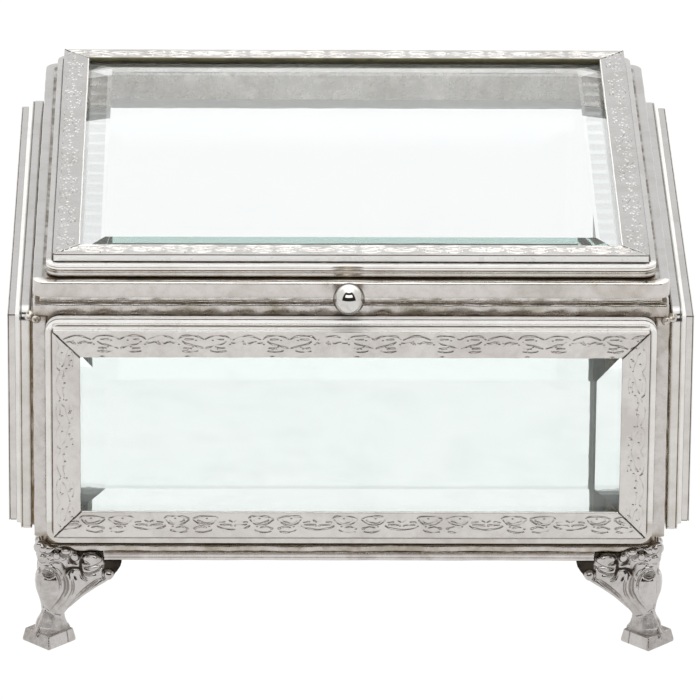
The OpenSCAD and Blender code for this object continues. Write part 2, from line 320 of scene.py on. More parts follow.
def mirror(name):
    t = Tree(name)
    tc = t.node("ShaderNodeTexCoord").outputs["Object"]
    n1 = t.noise(tc, 60.0, 4.0, 0.6)
    n2 = t.noise(tc, 1400.0, 2.0, 0.6)
    col = t.mix(t.rng(n1, 0.45, 0.75, 0.0, 1.0), C(0.90, 0.93, 0.92), C(0.84, 0.875, 0.86))
    t.link(col, t.bsdf.inputs["Base Color"])
    t.bsdf.inputs["Metallic"].default_value = 1.0
    t.link(t.rng(n2, 0.6, 0.9, 0.008, 0.06), t.bsdf.inputs["Roughness"])
    b = t.node("ShaderNodeBump")
    b.inputs["Strength"].default_value = 0.02
    b.inputs["Distance"].default_value = 0.0003
    t.link(n1, b.inputs["Height"])
    t.link(b.outputs["Normal"], t.bsdf.inputs["Normal"])
    return t.mat


M_STRIP = silver("silver_strip_metal", (0.64, 0.61, 0.585), (0.55, 0.52, 0.49), rough=(0.16, 0.26), blotch=70, grime_and_shade_gain=1.0, grime_and_shade_color=(0.115, 0.092, 0.072))
# painted shade: a darker copy of the strip silver for the lid's front and back strips, which face up into brighter
# light
M_LIDSTRIP_PAINTED_SHADE = silver("silver_lid_strip_painted_shade", (0.53, 0.52, 0.505), (0.45, 0.435, 0.42), rough=(0.12, 0.22), blotch=80, grime_and_shade_color=(0.15, 0.13, 0.105))
# painted shade: a darker copy for up-facing surfaces along the sides, which catch less light than those at the front
M_SIDE_PAINTED_SHADE = silver("silver_side_painted_shade", (0.45, 0.443, 0.437), (0.40, 0.39, 0.38), rough=(0.12, 0.22), blotch=80, grime_and_shade_color=(0.17, 0.15, 0.125))
M_BEAD = silver("silver_frame_metal", (0.66, 0.64, 0.61), (0.57, 0.54, 0.505), rough=(0.10, 0.20), blotch=60, streak=(1, 1, 1))
M_RAIL = silver("silver_rail_metal", (0.60, 0.565, 0.535), (0.40, 0.365, 0.31), rough=(0.16, 0.34), blotch=95, blotch_amt=(0.42, 0.68), bump=0.25, stain=0.35)
M_LIDRAIL = silver("silver_lid_rail_metal", (0.63, 0.595, 0.565), (0.50, 0.47, 0.43), rough=(0.16, 0.28), blotch=75, blotch_amt=(0.48, 0.72), bump=0.15, stain=0.3)
M_POST = silver("silver_post_metal", (0.58, 0.55, 0.53), (0.45, 0.42, 0.38), rough=(0.18, 0.32), blotch=80, bump=0.2)
M_BASE = silver("silver_base_metal", (0.62, 0.59, 0.57), (0.50, 0.47, 0.45), rough=(0.18, 0.30), blotch=120, bump=0.15)
M_FOOT = silver("silver_foot_metal", (0.54, 0.515, 0.50), (0.43, 0.405, 0.385), rough=(0.09, 0.18), blotch=160, bump=0.10, grime_and_shade_color=(0.10, 0.078, 0.06))
M_KNOB = silver("silver_ball_metal", (0.64, 0.625, 0.60), (0.56, 0.54, 0.515), rough=(0.02, 0.05), blotch=200, bump=0.01, painted_rim_shade=True)
M_HINGE = silver("hinge_metal", (0.56, 0.54, 0.50), (0.42, 0.39, 0.34), rough=(0.2, 0.34), blotch=240, bump=0.2, stain=0.4)
M_SOLDER = silver("solder_metal", (0.66, 0.64, 0.61), (0.48, 0.45, 0.41), rough=(0.16, 0.30), blotch=260, bump=0.3)
# painted highlight: near-white, low-metal copies of the silver for the folded edges against the glass and the narrow
# ledges
M_EDGE_HIGHLIGHT = silver("silver_edge_painted_highlight", (0.93, 0.915, 0.88), (0.86, 0.84, 0.79), rough=(0.25, 0.40), blotch=150, metal=0.25)
M_LEDGE_HIGHLIGHT = silver("silver_ledge_painted_highlight", (0.96, 0.945, 0.925), (0.90, 0.885, 0.86), rough=(0.25, 0.35), blotch=60, metal=0.08)
# painted shade: a dark olive, nearly non-metal copy of the silver for the inner edge and back of the lid's back strip
M_EDGE_PAINTED_SHADE = silver("silver_inner_edge_painted_shade", (0.215, 0.195, 0.105), (0.15, 0.135, 0.075), rough=(0.35, 0.5), blotch=170, bump=0.2, metal=0.1, grime_and_shade_gain=0.4)
# painted shade: a near-black copy of the foot silver for the plate behind the wing tip
M_FOOT_PAINTED_SHADE = silver("silver_foot_painted_shade", (0.040, 0.032, 0.026), (0.02, 0.016, 0.013), rough=(0.12, 0.3), blotch=160, bump=0.12, grime_and_shade_gain=0.0)
M_FOOTCAST = silver("silver_foot_cast_metal", (0.56, 0.53, 0.51), (0.40, 0.375, 0.36), rough=(0.38, 0.52), blotch=220, bump=0.35, grime_and_shade_color=(0.12, 0.095, 0.075), metal=0.75)
# painted light: near-white copies of the silver for the backs of the strips, brightened in colour because the light
# through the glass does not reach them
M_BACK_PAINTED_LIGHT = silver("silver_back_painted_light", (0.95, 0.955, 0.91), (0.80, 0.81, 0.75), rough=(0.35, 0.50), blotch=200, bump=0.25, metal=0.0, grime_and_shade_gain=0.25)
M_BACKTOP_PAINTED_LIGHT = silver("silver_back_top_painted_light", (0.92, 0.92, 0.895), (0.84, 0.845, 0.82), rough=(0.35, 0.50), blotch=90, bump=0.12, metal=0.1, grime_and_shade_gain=0.12)
M_GLASS = glass("bevelled_plate_glass", (0.978, 0.986, 0.989))
M_FLOORGLASS = glass("floor_plate_glass", (0.965, 0.985, 0.978), 0.01)
M_MIRROR = mirror("floor_mirror_glass")

# ------------------------------------------------------------------ wall and lid mouldings

# (inset from the outer edge, height above the back, tarnish with painted shade above 0 and painted highlight below 0)
WALL_SIDE = [
    (0.85, 0.00, 1.0), (0.85, 0.48, 1.0), (0.24, 0.54, 0.9), (0.06, 0.62, 0.2), (0.0, 0.72, -0.8), (0.08, 0.95, -1.0), (0.19, 1.18, -1.0), (0.32, 1.42, -0.9), (0.44, 1.60, -0.5),
    (0.56, 1.68, 0.5), (0.60, 1.85, 0.5), (0.58, 2.35, 0.5), (0.30, 2.50, 0.5), (0.03, 2.60, 0.4), (0.0, 2.75, 0.3), (0.0, 3.10, 0.1),
    (0.03, 3.30, -0.8), (0.12, 3.43, -1.0), (0.34, 3.475, -1.0), (0.70, 3.485, -1.0), (1.10, 3.485, -1.0), (1.36, 3.475, -1.0), (1.48, 3.44, -0.7),
    (1.56, 3.36, 0.3), (1.62, 3.22, 0.9), (1.68, 3.13, 1.0), (1.74, 3.14, 0.7), (1.78, 3.22, -0.4),
]
PLAIN_SIDE = [
    (0.85, 0.00, 1.0), (0.85, 0.52, 1.0), (0.24, 0.57, 0.9), (0.06, 0.66, 0.35), (0.0, 0.78, 0.0), (0.0, 1.30, 0.0), (0.0, 1.90, 0.0), (0.0, 2.45, 0.0), (0.01, 2.72, 0.0),
    (0.05, 2.84, 0.2), (0.14, 2.90, 0.6), (0.20, 2.97, 0.8), (0.19, 3.06, 0.7), (0.08, 3.12, 0.2), (0.04, 3.22, 0.0),
    (0.07, 3.34, -0.1), (0.17, 3.43, -0.1), (0.34, 3.47, -0.1), (0.70, 3.485, -0.1), (1.10, 3.485, -0.1), (1.42, 3.47, -0.1), (1.55, 3.43, -0.1),
    (1.62, 3.35, 0.2), (1.67, 3.22, 0.9), (1.74, 3.15, 1.0), (1.81, 3.16, 1.0), (1.85, 3.24, 0.3),
]
LID_SIDE = [
    (0.75, 0.00, 1.0), (0.75, 0.14, 1.0), (0.20, 0.18, 0.9), (0.06, 0.30, 0.35), (0.02, 0.45, 0.1), (0.06, 0.75, 0.05), (0.14, 1.05, 0.1), (0.12, 1.35, 0.1), (0.04, 1.58, 0.0), (0.03, 1.70, 0.0),
    (0.14, 1.78, 0.8), (0.20, 1.86, 1.0), (0.18, 1.94, 0.9), (0.06, 1.99, 0.2),
    (0.01, 2.06, -0.5), (0.0, 2.16, -0.8), (0.0, 2.46, -0.8), (0.02, 2.56, -0.3), (0.11, 2.62, 0.5), (0.11, 2.68, 0.5),
    (0.02, 2.74, -0.4), (0.0, 2.84, -0.8), (0.0, 3.12, -0.8), (0.03, 3.26, -0.8), (0.14, 3.35, -0.6), (0.40, 3.39, -0.5), (0.85, 3.40, -0.7), (1.38, 3.40, -0.7),
    (1.48, 3.36, 0.4), (1.58, 3.26, 1.0), (1.68, 3.24, 1.0), (1.76, 3.28, 0.6),
]


def bead_profile(side, R, rect, lip, pocket, lip_p, top_p):
    x0, x1, y0, y1 = rect
    prof = []
    for d, p, di in side:
        prof.append((x0 + d, x1 - d, y0 + d, y1 - d, R - d, p, di))
    cx, tp = side[-1][0], side[-1][1]
    prof.append((x0 + cx, x1 - cx, y0 + cx, y1 - cx, 0.02, tp + 0.06, -0.6))
    prof.append((x0 + cx + 0.03, x1 - cx - 0.03, y0 + cx + 0.03, y1 - cx - 0.03, 0.02, tp + 0.12, -1.0))
    prof.append((x0 + cx + 0.16, x1 - cx - 0.16, y0 + cx + 0.16, y1 - cx - 0.16, 0.02, top_p - 0.02, -1.0))
    a0, a1, b0, b1 = pocket
    prof.append((a0, a1, b0, b1, 0.02, top_p, 0.3))
    prof.append((a0, a1, b0, b1, 0.02, lip_p, 0.5))
    c0, c1, e0, e1 = lip
    prof.append((c0, c1, e0, e1, 0.02, lip_p, -0.5))
    prof.append((c0 - 0.15, c1 + 0.15, e0 - 0.15, e1 + 0.15, 0.02, 0.0, -0.5))
    return prof


def paint_ledge_highlights(ob, where):
    """Painted highlight: the narrow ledges get a near-white, nearly non-metal finish in place of the highlight they
    catch.
    """
    a = np.zeros(len(ob.data.vertices))
    ob.data.attributes["grime_and_painted_light"].data.foreach_get("value", a)
    ob.data.materials.append(M_LEDGE_HIGHLIGHT)
    i = len(ob.data.materials) - 1
    for f in ob.data.polygons:
        if all(a[v] < -0.45 for v in f.vertices) and where(f.center * 1000, f.normal):
            f.material_index = i


for wall, k in WALLS.items():
    prof = bead_profile(WALL_SIDE if k == 0 else PLAIN_SIDE, 3.6, (-76.75, 76.75, 30.1, 91.1), (-72.4, 72.4, 35.35, 86.5), (-73.5, 73.5, 34.25, 87.6), 2.07, 4.5)
    if k == 1:
        # the gap behind this moulding is open, so it goes in deep and dark
        prof = [(x0 + 1.6, x1 - 1.6, y0 + 1.6, y1 - 1.6, 1.2, p, di) if p < 0.53 and di == 1.0 and j < 2 else (x0, x1, y0, y1, r, p, di) for j, (x0, x1, y0, y1, r, p, di) in enumerate(prof)]
    V, F, D = ring(prof, N1=150, N2=56, place=wall_place(k))
    if k % 2:
        # brown grime has gathered where the side mouldings meet the corner posts
        D = np.where((np.abs(V[:, 0]) < 81.1) & (np.abs(V[:, 1]) > 74) & (V[:, 2] < 90.8) & (V[:, 2] > 32), np.maximum(D, 0.42), D)
    # painted highlight: the lightening is kept at full on the top member and weakened lower down
    h = V[:, 2]
    D = np.where(D < 0, D * np.where(h > 88.5, 1.0, np.where(h > 33.0, 0.35, 0.1)), D)
    D = np.where((h < 36.0) & (D < 0.14) & (k == 0), 0.14, D)
    ob = build(wall + "_moulding", V, F, M_BEAD, "casket", (wall + "_bead",), D, wobble=0.04, wscale=24, seed=11 + k)
    if k == 0:
        paint_ledge_highlights(ob, lambda c, n: n.z > 0.35 and c.z > 88.5)
    if k % 2 == 1:
        # painted shade: the side walls' upward faces get the darker side finish
        ob.data.materials.append(M_SIDE_PAINTED_SHADE)
        for f in ob.data.polygons:
            if f.normal.z > 0.1 and f.center.z > 0.0875:
                f.material_index = 1

prof = bead_profile(LID_SIDE, 3.6, (-76.65, 76.65, -76.65, 76.65), (-70.6, 70.6, -70.6, 70.6), (-73.5, 73.5, -73.5, 73.5), 1.5, 3.8)
prof = [(a, b, c, d, r, p + 99.8, di) for a, b, c, d, r, p, di in prof]
V, F, D = ring(prof, N1=150, N2=150, place=flat_place)
# painted highlight is weakened on the sides of the lid moulding
D = np.where((D < 0) & (V[:, 1] > -72.5) & (np.abs(V[:, 0]) > 72), D * 0.15, D)
ob = build("lid_moulding", V, F, M_BEAD, "lid", ("lid_bead",), D, wobble=0.03, wscale=24, seed=21)
paint_ledge_highlights(ob, lambda c, n: n.z > 0.6 and c.z > 102.8 and c.y < -70)
# painted light: the inner faces get the near-white back finish; painted shade: the upward side faces get the darker
# side finish
ob.data.materials.append(M_BACKTOP_PAINTED_LIGHT)
ob.data.materials.append(M_SIDE_PAINTED_SHADE)
for f in ob.data.polygons:
    if max(abs(f.center.x), abs(f.center.y)) < 0.0726:
        f.material_index = len(ob.data.materials) - 2
    elif abs(f.center.x) > 0.0726 and f.center.y > -0.0735 and f.normal.z > 0.2:
        f.material_index = len(ob.data.materials) - 1

# ------------------------------------------------------------------ rolled scroll ornament

PERIOD = 21.3


def mirrored(lines):
    return lines + [[(-x, y) for x, y in ln] for ln in lines]


# distances are (along, from the glass edge) for A, (along, from the outer edge) for B
ORN_A = mirrored([
    [(-6.75, 1.56), (-6.03, 1.13), (-4.1, 1.04), (-2.17, 1.16), (-0.48, 1.73)],
    [(-5.4, 2.34), (-4.9, 2.86), (-4.1, 3.1), (-3.0, 2.77), (-1.7, 2.25), (-1.9, 1.95)],
    [(-6.4, 2.0), (-5.4, 3.05), (-3.8, 3.5), (-2.0, 3.1), (-0.5, 2.0)],
    [(-3.8, 4.16), (-2.5, 3.9), (-1.85, 4.07), (-0.64, 4.42)],
    [(-5.2, 4.8), (-4.7, 5.1), (-3.0, 5.5), (-1.2, 5.3)],
    [(-6.5, 3.7), (-7.5, 4.25), (-9.76, 4.68), (-10.8, 4.72)],
    [(-10.4, 2.6), (-9.6, 2.2)], [(-7.1, 2.75), (-8.6, 2.6)], [(-7.3, 3.4), (-10.2, 3.45)],
])
DOT_A = [(-4.6, 4.2), (4.6, 4.2), (-4.0, 2.0), (4.0, 2.0), (-10.2, 4.0), (10.2, 4.0), (-1.0, 4.9), (1.0, 4.9)]
ORN_B = mirrored([
    [(-6.6, 1.8), (-5.6, 1.06), (-3.5, 0.83), (-1.7, 1.06), (-0.2, 1.75)],
    [(-4.8, 1.85), (-2.75, 1.8)],
    [(-5.45, 2.4), (-4.5, 3.05), (-3.0, 3.4), (-1.7, 3.8), (-0.4, 4.2)],
    [(-5.1, 4.2), (-3.2, 4.25)],
    [(-5.4, 5.0), (-3.8, 5.25), (-2.2, 5.1), (-1.6, 4.86)],
    [(-7.2, 1.9), (-8.6, 1.3), (-10.0, 0.92), (-10.8, 0.88)],
    [(-6.8, 2.8), (-7.8, 2.8), (-8.9, 2.55), (-10.2, 3.05)],
])
DOT_B = [(-2.1, 2.4), (2.1, 2.4), (-6.4, 3.5), (6.4, 3.5), (-2.9, 4.2), (2.9, 4.2), (-10.3, 3.1), (9.7, 2.7), (-8.4, 2.75), (-4.2, 4.75), (3.4, 4.65)]


def smooth_line(ln, n=6):
    """Catmull-Rom through the points, so that arcs stay round."""
    if len(ln) < 3:
        return ln
    P = [np.array(p, float) for p in ln]
    P = [2 * P[0] - P[1]] + P + [2 * P[-1] - P[-2]]
    out = []
    for i in range(1, len(P) - 2):
        for k in range(n):
            t = k / n
            a, b, c, d = P[i - 1], P[i], P[i + 1], P[i + 2]
            out.append(tuple(0.5 * ((2 * b) + (c - a) * t + (2 * a - 5 * b + 4 * c - d) * t * t + (3 * b - a - 3 * c + d) * t ** 3)))
    out.append(tuple(P[-2]))
    return out


def segs(lines):
    A, B = [], []
    for ln in lines:
        s = smooth_line(ln)
        for p, q in zip(s[:-1], s[1:]):
            for off in (-PERIOD, 0.0, PERIOD):
                A.append((p[0] + off, p[1]))
                B.append((q[0] + off, q[1]))
    return np.array(A), np.array(B)


ORNAMENT = {"A": (segs(ORN_A), np.array([(x + o, y) for x, y in DOT_A for o in (-PERIOD, 0, PERIOD)])),
            "B": (segs(ORN_B), np.array([(x + o, y) for x, y in DOT_B for o in (-PERIOD, 0, PERIOD)]))}


def relief(x, t, kind, phase, upright, pillow=0.03):
    """Height (mm, 0 is the highest) and the tarnish and painted shade of the stamped face at (x along, t across)."""
    (A, B), dots = ORNAMENT[kind]
    xm = np.mod(x - phase + PERIOD / 2, PERIOD) - PERIOD / 2
    P = np.stack([xm, t], 1)
    d2 = np.full(len(P), 99.0)
    lay = np.zeros(len(P))
    for a, b in zip(A, B):
        if min(a[0], b[0]) > 12.5 or max(a[0], b[0]) < -12.5:
            continue
        ab = b - a
        L = max(float(ab @ ab), 1e-9)
        u = np.clip(((P - a) @ ab) / L, 0, 1)
        q = P - (a + u[:, None] * ab)
        e = (q * q).sum(1)
        near = e < d2
        d2 = np.where(near, e, d2)
        lay = np.where(near, abs(ab[1 if upright else 0]) / math.sqrt(L), lay)
    d = np.sqrt(d2)
    # the roller bit unevenly: the lines are deep in places and nearly worn away in others
    Q = np.stack([x, t, np.zeros(len(x))], 1)
    bite = np.clip(0.80 + 0.40 * wob(Q, 5.0, 7) + 0.30 * wob(Q, 1.3, 9), 0.15, 1.3)
    h = -0.12 - 0.16 * np.exp(-(d / 0.17) ** 2) * bite - pillow * np.exp(-(d / 0.50) ** 2) * bite
    grime_and_painted_light = 0.80 * np.exp(-(d / 0.125) ** 2) * np.clip(bite, 0, 1) ** 1.3 * (0.22 + 0.78 * lay ** 2)
    for q in dots:
        r = np.sqrt(((P - q) ** 2).sum(1))
        h += (0.10 + pillow * 0.5) * np.clip(1 - (r / 0.34) ** 2, 0, 1) - 0.05 * np.exp(-((r - 0.42) / 0.1) ** 2)
        # painted shade: on the walls a small dark mark is painted on one side of each raised dot
        if pillow < 0.1:
            grime_and_painted_light = np.maximum(grime_and_painted_light, 0.5 * np.exp(-(((P[:, 0] - q[0]) / 0.2) ** 2 + ((t - q[1] + 0.25) / 0.12) ** 2)))
    return np.clip(h, -0.45, 0.0), grime_and_painted_light


def strip(name, half_in, half_out, W, T, kind, phase, place, mat, body, node, flipped, seed, step=0.17, upright=False, painted_highlight=0.3, pillow=0.03, back=None):
    """Mitred strip. place(a, t, h): along, distance from the glass edge, height relative to the face."""
    rel_t = np.arange(0.22, W - 0.27, step)
    # the third number is tarnish with painted shade above 0, and painted highlight below 0
    loop = [(1.3, -T, 0.55), (1.1, -1.15, 0.6), (0.12, -1.05, 0.4), (0.02, -0.92, 0.1), (0.0, -0.72, -0.5), (0.0, -0.45, -0.6), (0.03, -0.28, -0.4), (0.12, -0.18, 0.0)]
    n0 = len(loop)
    loop += [(t, 0.0, 0.0) for t in rel_t]
    n1 = len(loop)
    loop += [(W - 0.20, -0.11, 0), (W - 0.11, -0.07, -painted_highlight), (W - 0.03, -0.11, -painted_highlight), (W, -0.20, -painted_highlight * 0.5), (W - 0.02, -0.28, 0.3), (W - 0.14, -0.33, 1.0), (W - 0.16, -0.42, 1.0), (W - 0.03, -0.47, 0.3),
             (W, -0.56, -painted_highlight), (W, -0.9, -painted_highlight), (W, -1.3, -painted_highlight), (W, -T + 0.10, -painted_highlight), (W - 0.03, -T, 0.0), (4.0, -T, 0.55)]
    L = np.array(loop)
    t, h0, di = L[:, 0], L[:, 1], L[:, 2]
    n = max(40, int(2 * half_out / step))
    u = np.linspace(-1, 1, n)
    half = half_in + (half_out - half_in) * t / W - 0.13
    X = u[:, None] * half[None, :]
    Tm = np.repeat(t[None, :], n, 0)
    H = np.repeat(h0[None, :], n, 0)
    Dm = np.repeat(di[None, :], n, 0)
    across = Tm[:, n0:n1].ravel() if kind == "A" else W - Tm[:, n0:n1].ravel()
    xx = X[:, n0:n1].ravel() * (-1 if flipped else 1)
    hr, dr = relief(xx, across, kind, phase, upright, pillow)
    if node == "front_strip_top":
        # the roller's rim has marked the glass edge once in every repeat
        xm = np.mod(xx - phase + 4.3 + PERIOD / 2, PERIOD) - PERIOD / 2
        mark = np.exp(-(xm / 0.55) ** 2 - ((W - across - 0.42) / 0.17) ** 2)
        hr = hr - 0.18 * mark
        dr = np.maximum(dr, mark)
    H[:, n0:n1] = hr.reshape(n, n1 - n0)
    Dm[:, n0:n1] = dr.reshape(n, n1 - n0)
    end = np.exp(-((half[None, :] - np.abs(X)) / 0.16) ** 2)
    H[:, n0:n1] -= 0.10 * end[:, n0:n1]
    Dm = np.maximum(Dm, 0.85 * end)
    # the hand-bent strip is not quite straight: its glass edge wanders a little
    E = np.stack([X[:, 0], np.zeros(n), np.zeros(n)], 1)
    edge = np.abs(wob(E, 17.0, seed)) * 0.07 + np.abs(wob(E, 5.0, seed + 50)) * 0.04
    edge_shift = 0.0
    Tm = Tm + (edge[:, None] + edge_shift) * np.clip(1 - Tm / 1.2, 0, 1)
    V = place(X.ravel(), Tm.ravel(), H.ravel())
    m = len(loop)
    i = np.arange(n - 1)[:, None]
    j = np.arange(m)[None, :]
    a = i * m + j
    b = i * m + (j + 1) % m
    F = np.stack([a, b, b + m, a + m], -1).reshape(-1, 4).tolist()
    F.append(list(range(m)))
    F.append(list(range((n - 1) * m, n * m))[::-1])
    ob = build(name, V, F, mat, body, (node,), Dm.ravel(), sharp=50)
    ob.data.materials.append(M_EDGE_PAINTED_SHADE if back is M_EDGE_PAINTED_SHADE else M_EDGE_HIGHLIGHT)
    ob.data.materials.append(back or M_BACK_PAINTED_LIGHT)
    lit = 0
    if painted_highlight > 0.5:
        # painted highlight on the front strips, painted shade on the side strips
        ob.data.materials.append(M_SIDE_PAINTED_SHADE if node in ("left_strip_top", "right_strip_top") else M_LEDGE_HIGHLIGHT)
        lit = 3
    # the edge rows get the edge finish (painted highlight, or painted shade on the lid's back strip); the back rows get
    # the back finish (painted light)
    mi = np.zeros(len(ob.data.polygons), np.int32)
    for q, f in enumerate(ob.data.polygons):
        if len(f.vertices) != 4:
            continue
        js = [v % m for v in f.vertices]
        k = m - 1 if min(js) == 0 and max(js) == m - 1 else min(js)
        if 2 <= k <= (8 if body == "lid" else 5):
            mi[q] = 1
        elif k < 2 or k >= m - 2:
            mi[q] = 2
        elif lit and k >= n1 + 7:
            mi[q] = lit
    ob.data.polygons.foreach_set("material_index", mi)
    return ob


fine_step = 0.12
strip_step = 0.17
seed = 100
for wall, k in WALLS.items():
    wp = wall_place(k)
    for side in ("top", "bottom", "left", "right"):
        seed += 1
        node = f"{wall}_strip_{side}"
        if side == "top":
            hi, ho, W = 67.9, 74.9, 7.0
            pl = (lambda a, t, h, wp=wp: wp(a, 82.0 + t, 6.5 + h))
            kind, ph = "B", -36.8
        elif side == "bottom":
            hi, ho, W = 67.9, 74.9, 7.2
            pl = (lambda a, t, h, wp=wp: wp(a, 40.05 - t, 6.5 + h))
            kind, ph = "A", -40.13
        else:
            sg = -1 if side == "left" else 1
            hi, ho, W = 20.975, 28.075, 7.0
            # the mitre is taller than it is wide by 0.2 at the bottom, so the middle moves with t
            pl = (lambda a, t, h, wp=wp, sg=sg: wp(sg * (67.9 + t), 61.025 - 0.1 * t / 7.0 + a, 6.5 + h))
            kind, ph = "B", 3.0 if side == "left" else -4.0
        strip("ornament_" + node, hi, ho, W, 2.0, kind, ph + 1.7 * k * (k > 0), pl, M_STRIP, "casket", node, k == 3, seed,
              fine_step if k == 0 else strip_step, side in ("left", "right"), {"top": 0.9, "bottom": 0.0}.get(side, 0.3), 0.03, M_BACK_PAINTED_LIGHT if side in ("left", "right") else M_BACKTOP_PAINTED_LIGHT)

for wall, k in WALLS.items():
    seed += 1
    lp = lid_place(k)
    pl = (lambda a, t, h, lp=lp: lp(a, 68.1 + t, 105.6 + h))
    strip("ornament_lid_" + wall, 68.1, 74.9, 6.8, 2.0, "A" if k % 2 == 0 else "B", 2.0 + 1.3 * k, pl, M_LIDSTRIP_PAINTED_SHADE if k % 2 == 0 else M_SIDE_PAINTED_SHADE, "lid",
          f"lid_strip_{wall}", False, seed, strip_step if k == 2 else fine_step, k % 2 == 1, 0.8 if k == 0 else 0.1, 0.13 if k % 2 == 0 else 0.10, M_EDGE_PAINTED_SHADE if k == 2 else M_BACKTOP_PAINTED_LIGHT)

# ------------------------------------------------------------------ rails


# the last number of each rail entry is tarnish with painted shade above 0, and painted highlight below 0, as on the lid
# rail's inner faces and the top rail's upstand
def sq(n, z, r, di):
    return (-n, n, -n, n, r, z, di)


top = [sq(80, 90.62, 1.2, 0.7), sq(80, 90.9, 1.2, 0.45), sq(80, 91.35, 1.2, 0.30), sq(80, 91.8, 1.2, 0.15), sq(80, 92.3, 1.2, 0.03), sq(80, 92.9, 1.2, 0.0), sq(80, 93.4, 1.2, -0.1),
       sq(79.95, 93.72, 1.15, 0.0), sq(79.8, 93.95, 1.0, 0.0), sq(79.5, 94.04, 0.9, 0.0), sq(79.0, 94.05, 0.9, 0.05), sq(78.3, 94.05, 0.8, 0.3),
       sq(78.2, 94.2, 0.8, 0.2), sq(78.2, 94.5, 0.8, -0.35), sq(78.2, 95.0, 0.8, -0.5), sq(78.2, 95.38, 0.8, -0.4), sq(78.1, 95.5, 0.7, 0.2), sq(77.3, 95.5, 0.5, 0.2), sq(76.5, 95.5, 0.3, 0.1),
       sq(76.4, 95.4, 0.2, 0.05), sq(76.4, 93, 0.2, 0.0), sq(76.4, 90, 0.2, 0.0), sq(76.4, 88.05, 0.2, 0.1), sq(76.5, 88, 0.2, 0.3), sq(79.8, 88, 0.3, 0.5), sq(79.8, 90.6, 0.3, 0.9)]
V, F, D = ring(top, 170, 170, flat_place)
build("body_top_rail", V, F, M_RAIL, "casket", ("top_rail",), D, wobble=0.22, wscale=5.0, seed=31)

bot = [sq(78.1, 25.7, 2.2, 0.5), sq(78.45, 25.78, 2.4, 0.3), sq(78.58, 26.1, 2.5, 0.15), sq(78.6, 26.5, 2.5, 0.1), sq(78.6, 26.9, 2.5, 0.15), sq(78.55, 27.3, 2.5, 0.15),
       sq(78.35, 27.6, 2.3, 0.25), sq(78.0, 27.7, 2.1, 0.5), sq(77.8, 27.72, 2.0, 0.7), sq(77.8, 28.6, 2.0, 0.7), sq(77.8, 30.55, 2.0, 0.9), sq(79.7, 30.65, 0.4, 1.0), sq(79.7, 34.45, 0.3, 0.8),
       sq(76.5, 34.5, 0.2, 0.5), sq(76.4, 34.4, 0.2, 0.3), sq(76.4, 30, 0.2, 0.4), sq(76.4, 27.7, 0.2, 0.5), sq(74.7, 27.6, 0.2, 0.4), sq(74.62, 26.52, 0.2, 0.4), sq(70.1, 26.5, 0.2, 0.4), sq(70.0, 26.4, 0.2, 0.3),
       sq(70.0, 25.8, 0.2, 0.2), sq(70.1, 25.7, 0.2, 0.2), sq(74, 25.7, 0.5, 0.2)]
V, F, D = ring(bot, 170, 170, flat_place)
build("body_bottom_rail", V, F, M_RAIL, "casket", ("bottom_rail",), D, wobble=0.20, wscale=4.0, seed=32)

lid = [sq(79.75, 95.6, 3.3, 0.5), sq(79.95, 95.72, 3.4, 0.25), sq(80, 95.95, 3.5, 0.1), sq(80, 96.6, 3.5, 0.0), sq(80, 97.4, 3.5, 0.0), sq(80, 98.2, 3.5, 0.0), sq(80, 99.0, 3.5, 0.0),
       sq(79.98, 99.35, 3.5, 0.0), sq(79.92, 99.58, 3.45, -0.2), sq(79.78, 99.73, 3.4, -0.6), sq(79.5, 99.79, 3.2, -0.9), sq(79.0, 99.8, 3.0, -0.9), sq(78.5, 99.8, 2.8, -0.5), sq(78.1, 99.8, 2.6, 0.2), sq(77.7, 99.8, 2.4, 0.3), sq(77.55, 99.78, 2.3, 0.9), sq(77.3, 99.7, 2.1, 1.0),
       sq(76.6, 99.7, 1.9, 1.0), sq(75.0, 99.8, 0.8, 0.6),
       sq(70.7, 99.8, 0.2, -0.2), sq(70.6, 99.7, 0.2, -0.8), sq(70.6, 99.0, 0.2, -0.8), sq(70.7, 98.9, 0.2, -0.4), sq(76.5, 98.9, 0.3, -0.3), sq(76.6, 98.8, 0.3, -0.8), sq(76.6, 97.0, 0.3, -0.8), sq(76.6, 95.7, 0.3, -0.8), sq(76.7, 95.6, 0.3, 0.1)]
V, F, D = ring(lid, 170, 170, flat_place)
side = (V[:, 1] > -76.5) & (np.abs(V[:, 0]) > 76)
D = np.where((D < 0.25) & (V[:, 2] > 99.6) & side, 0.03, D)
D = np.where((D > 0.8) & (V[:, 2] > 99.6) & side, D * np.clip(0.75 + 0.7 * wob(V, 4.0, 77), 0.1, 1), D)
ob = build("lid_outer_rail", V, F, M_LIDRAIL, "lid", ("lid_rail",), D, wobble=0.12, wscale=9.0, seed=33)
# painted shade: the lid rail's side deck gets the darker side finish
ob.data.materials.append(M_SIDE_PAINTED_SHADE)
for f in ob.data.polygons:
    if f.normal.z > 0.6 and abs(f.center.x) > 0.0762 and f.center.y > -0.0765 and f.center.z > 0.0985:
        f.material_index = 1

# ------------------------------------------------------------------ posts and base strips


